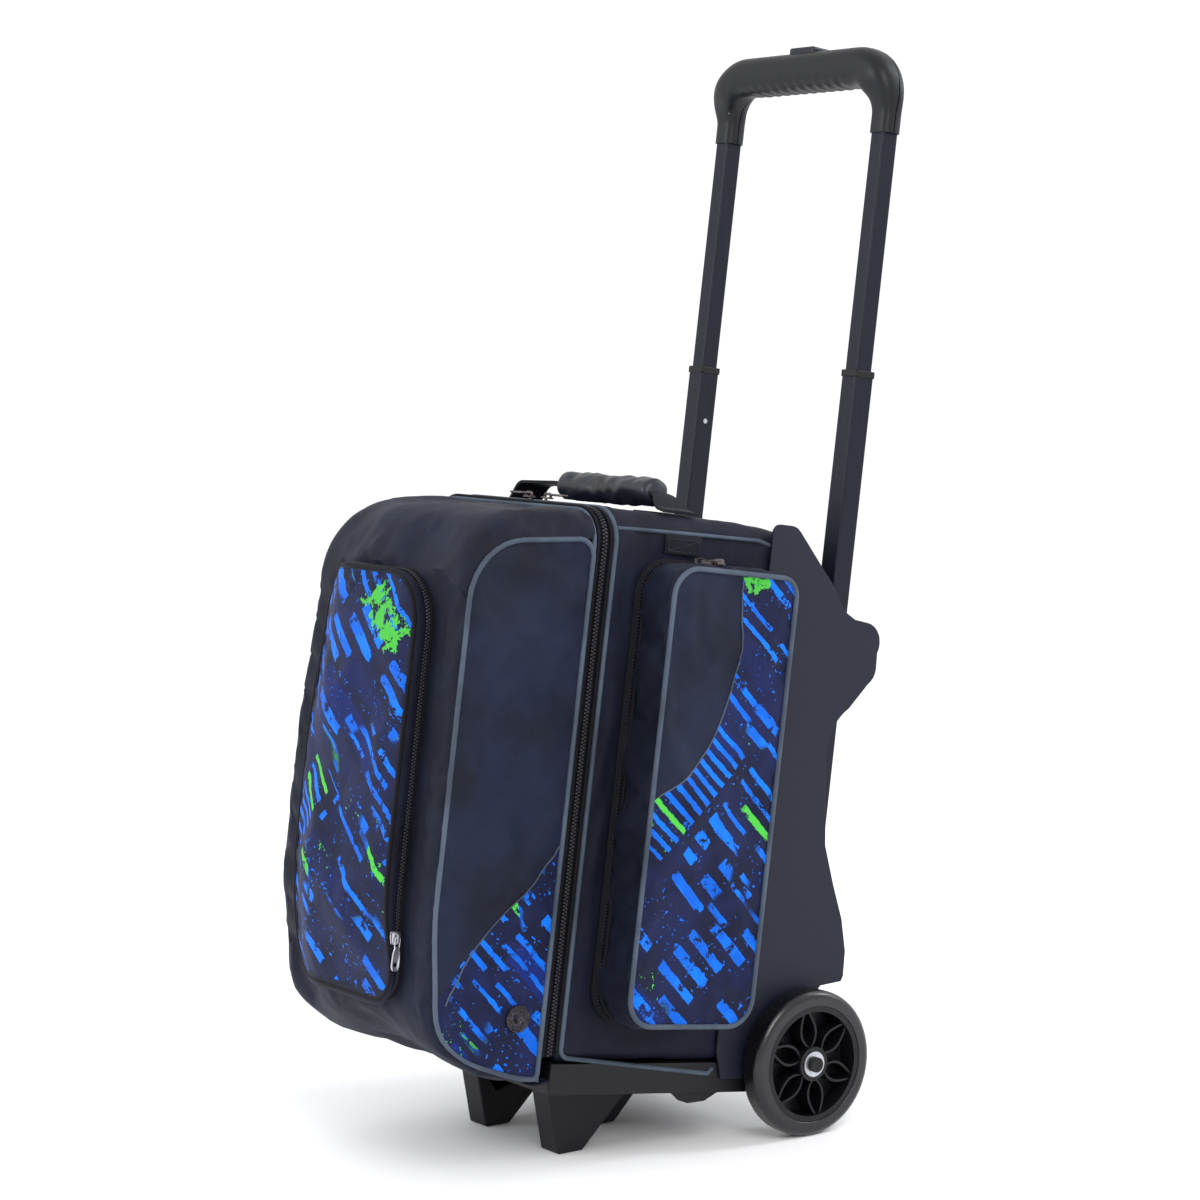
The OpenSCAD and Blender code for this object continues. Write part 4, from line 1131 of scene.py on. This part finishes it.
wrap_look = Look("leatherette", Specular_IOR_Level=0.4)
pores = wrap_look.cloud(520, 3, 0.6)
rubbed = wrap_look.cloud(30, 3)
wrap_look.wear(Base_Color=wrap_look.mixed(rubbed.between(0.3, 0.7), paint(12, 14, 22), paint(26, 30, 44)),
               Roughness=0.3 + rubbed * 0.18)
wrap_look.bump(pores * (0.1 * mm) + wrap_look.cloud(70, 4, 0.6) * (0.7 * mm), 1.0)
sleeve_x0, sleeve_x1, sleeve_z, sleeve_r = -52.0, 80.0, 537.0, 13.4
rings = []
for t in np.linspace(0, 1, 64):
    x = sleeve_x0 + (sleeve_x1 - sleeve_x0) * t
    end = min(t, 1 - t) * (sleeve_x1 - sleeve_x0)
    mouth = 1 - 0.3 * math.exp(-end / 1.6)
    row = []
    for k in range(36):
        a = 2 * math.pi * k / 36
        crease = noise(Vector((x / 9, math.cos(a) * 1.3, math.sin(a) * 1.3 + 4))) * 1.5
        crease += noise(Vector((x / 26, math.cos(a) * 0.8 + 9, math.sin(a) * 0.8))) * 1.6
        lap = 0.9 * math.exp(-((a - 4.3) / 0.12) ** 2)
        r = (sleeve_r - 1.1 + crease * 0.8 + lap) * mouth
        row.append((x, carry_y + r * 1.02 * math.cos(a), sleeve_z + r * math.sin(a)))
    rings.append(row)
rings = np.array(rings)
grip_wrap = piece("carry_sleeve", rings, wrap(rings), "carry_handle", wrap_look, ["carry_grip"],
                  50)
for name, side, inner_x in (("right", 1, sleeve_x1 - 14), ("left", -1, sleeve_x0 + 14)):
    arch = 1.5 + (1 - side) * 6.5
    path = filleted([[side * 114, carry_y, tub_high + 3.4], [side * 103, carry_y, tub_high + 4 + arch],
                     [inner_x + side * 22, carry_y, sleeve_z + arch / 4 - 2], [inner_x, carry_y, sleeve_z]],
                    [12, 24], [4, 12, 8], 8)
    half = 17 - 7.5 * smooth((side * 103 - path[:, 0]) * side / abs(inner_x + side * 16 - side * 103))
    sections = [[(1.3, -h), (1.8, 0), (1.3, h), (-1.0, h), (-1.0, -h)] for h in half]
    rings = swept(path, sections, (0, 0, 1))
    strap = piece("carry_web_" + name, rings, wrap(rings), None, web_look,
                  ["carry_strap"] if side > 0 else ())
    ends = [lean @ (Vector((x, carry_y, tub_high + 6)) * mm) for x in (side * 100, inner_x + side * 16)]
    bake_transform(strap)

# ---- Zipper sliders and pulls ----
# Die-cast sliders: two plates joined by a post, with a bridge that holds the pull. The pulls are stamped
# tabs.
silver_look = Look("pull_metal", Metallic=0.95)
polish = silver_look.cloud(160, 3)
silver_look.finish(polish, paint(150, 150, 156), paint(214, 214, 220), 0.2, 0.22)
silver_look.bump(silver_look.cloud(700, 2), 0.05 * mm, 0.4)
bronze_look = Look("dark_metal", Metallic=0.9)
patina = bronze_look.cloud(220, 3)
bronze_look.finish(patina, paint(52, 48, 50), paint(120, 112, 110), 0.24, 0.25)


def placed(points, at, along, rise):
    """Points given along, across and above, put in place."""
    along, rise = np.asarray(along, float), np.asarray(rise, float)
    return np.asarray(at, float) + np.asarray(points, float) @ np.array([along, np.cross(rise, along), rise])


def slider(name, at, along, rise, body, look, hides=()):
    points, faces = [], []
    for low, high, size in ((0.0, 1.5, 1.0), (3.0, 4.4, 0.96)):
        half_rim = [(-5.4, -2.4), (-4.4, -3.0), (1.5, -4.4), (4.6, -4.0), (5.4, -2.2)]
        rim = half_rim + [(x, -y) for x, y in half_rim[::-1]]
        rings = [[(x * size * s, y * size * s, z) for x, y in rim] for s, z in
                 ((0.9, low), (1, low + 0.3), (1, high - 0.3), (0.9, high))]
        faces += wrap(np.array(rings), False, len(points))
        points += [p for one in rings for p in one]
    post = swept([[2.5, 0, 1.2], [2.5, 0, 3.3]], ring(1.6, 1.2, 10), (1, 0, 0))
    faces += wrap(post, False, len(points))
    points += [tuple(p) for p in post.reshape(-1, 3)]
    bridge = filleted([[-4, 0, 4.0], [-4, 0, 7.6], [4, 0, 7.6], [4, 0, 4.0]], [2.2, 2.2], [2, 3, 2], 5)
    rings = swept(bridge, ring(0.75, 1.3, 10, 3), np.cross(facings(bridge, False), [0, 1, 0]))
    faces += wrap(rings, False, len(points))
    points += [tuple(p) for p in rings.reshape(-1, 3)]
    return piece(name, placed(points, at, along, rise), faces, body, look, hides, 35)


def pull(name, at, along, rise, body, look, hides=(), length=26.0, width=8.0):
    """A stamped tab that hangs from a wire loop on the slider's bridge."""
    count = 40
    points, faces = [], []
    rings = []
    for k in range(count):
        a = 2 * math.pi * k / count
        c, s = math.cos(a), math.sin(a)
        shape = (abs(c) ** 3.2 + abs(s) ** 3.2) ** (-1 / 3.2)
        x = 6 + (length - 6) / 2 + (length - 6) / 2 * c * shape
        y = width / 2 * s * shape * (0.72 + 0.28 * (x - 6) / (length - 6))
        hole = (length - 5.2 + 2.0 * c, 2.0 * s)
        rings.append([(*hole, -0.55), (x * 0.985 + 0.2, y * 0.9, -0.95), (x, y, -0.6), (x, y, 0.6),
                      (x * 0.985 + 0.2, y * 0.9, 0.95), (*hole, 0.55)])
    rings = np.array(rings)
    faces += wrap(rings, True)
    points += [tuple(p) for p in rings.reshape(-1, 3)]
    loop = filleted([[-1.6, -2.2, 0], [8.0, -2.2, 0], [8.0, 2.2, 0], [-1.6, 2.2, 0]], [1.6] * 4, [5, 2, 5, 2],
                    5, True)
    wire = swept(loop, ring(0.6, 0.6, 8), (0, 0, 1), True)
    faces += wrap(wire, True, len(points))
    points += [tuple(p) for p in wire.reshape(-1, 3)]
    return piece(name, placed(points, at, along, rise), faces, body, look, hides, 40)


slider_y, slider_z = zip_y - 1, tub_high + 0.5
for name, x, side in (("left", 8, -1), ("right", 36, 1)):
    slider("lid_slider_body_" + name, (x, slider_y, slider_z), (-side, 0, 0), (0, 0, 1), "zip_slider_" + name,
           bronze_look, ["lid_slider_" + name])
    pull("lid_pull_tab_" + name, (x, slider_y, slider_z + 6.6), (side, 0, 0), (0, 0, 1), "zip_pull_" + name,
         bronze_look, ["lid_pull_" + name])
front_slider_z = 156
slider("front_slider_body", (front_half + 0.4, front_split, front_slider_z), (0, 0, 1), (1, 0, 0),
       "pocket_slider", silver_look, ["front_slider"])
pull("front_pull_tab", (front_half + 6.9, front_split, front_slider_z), (0, 0, -1), (1, 0, 0), "pocket_pull",
     silver_look, ["front_pull"])
for name, side in (("right", 1), ("left", -1)):
    slider("side_slider_body_" + name, (side * 126.7, -158, 482.8), (0, 1, 0), (side, 0, 0),
           "side_slider_" + name, bronze_look, ["side_slider_" + name])
    pull("side_pull_tab_" + name, (side * 131, -161, 482.8), (0, -1, 0), (side, 0, 0), "side_slider_" + name,
         bronze_look, (), 24, 7)
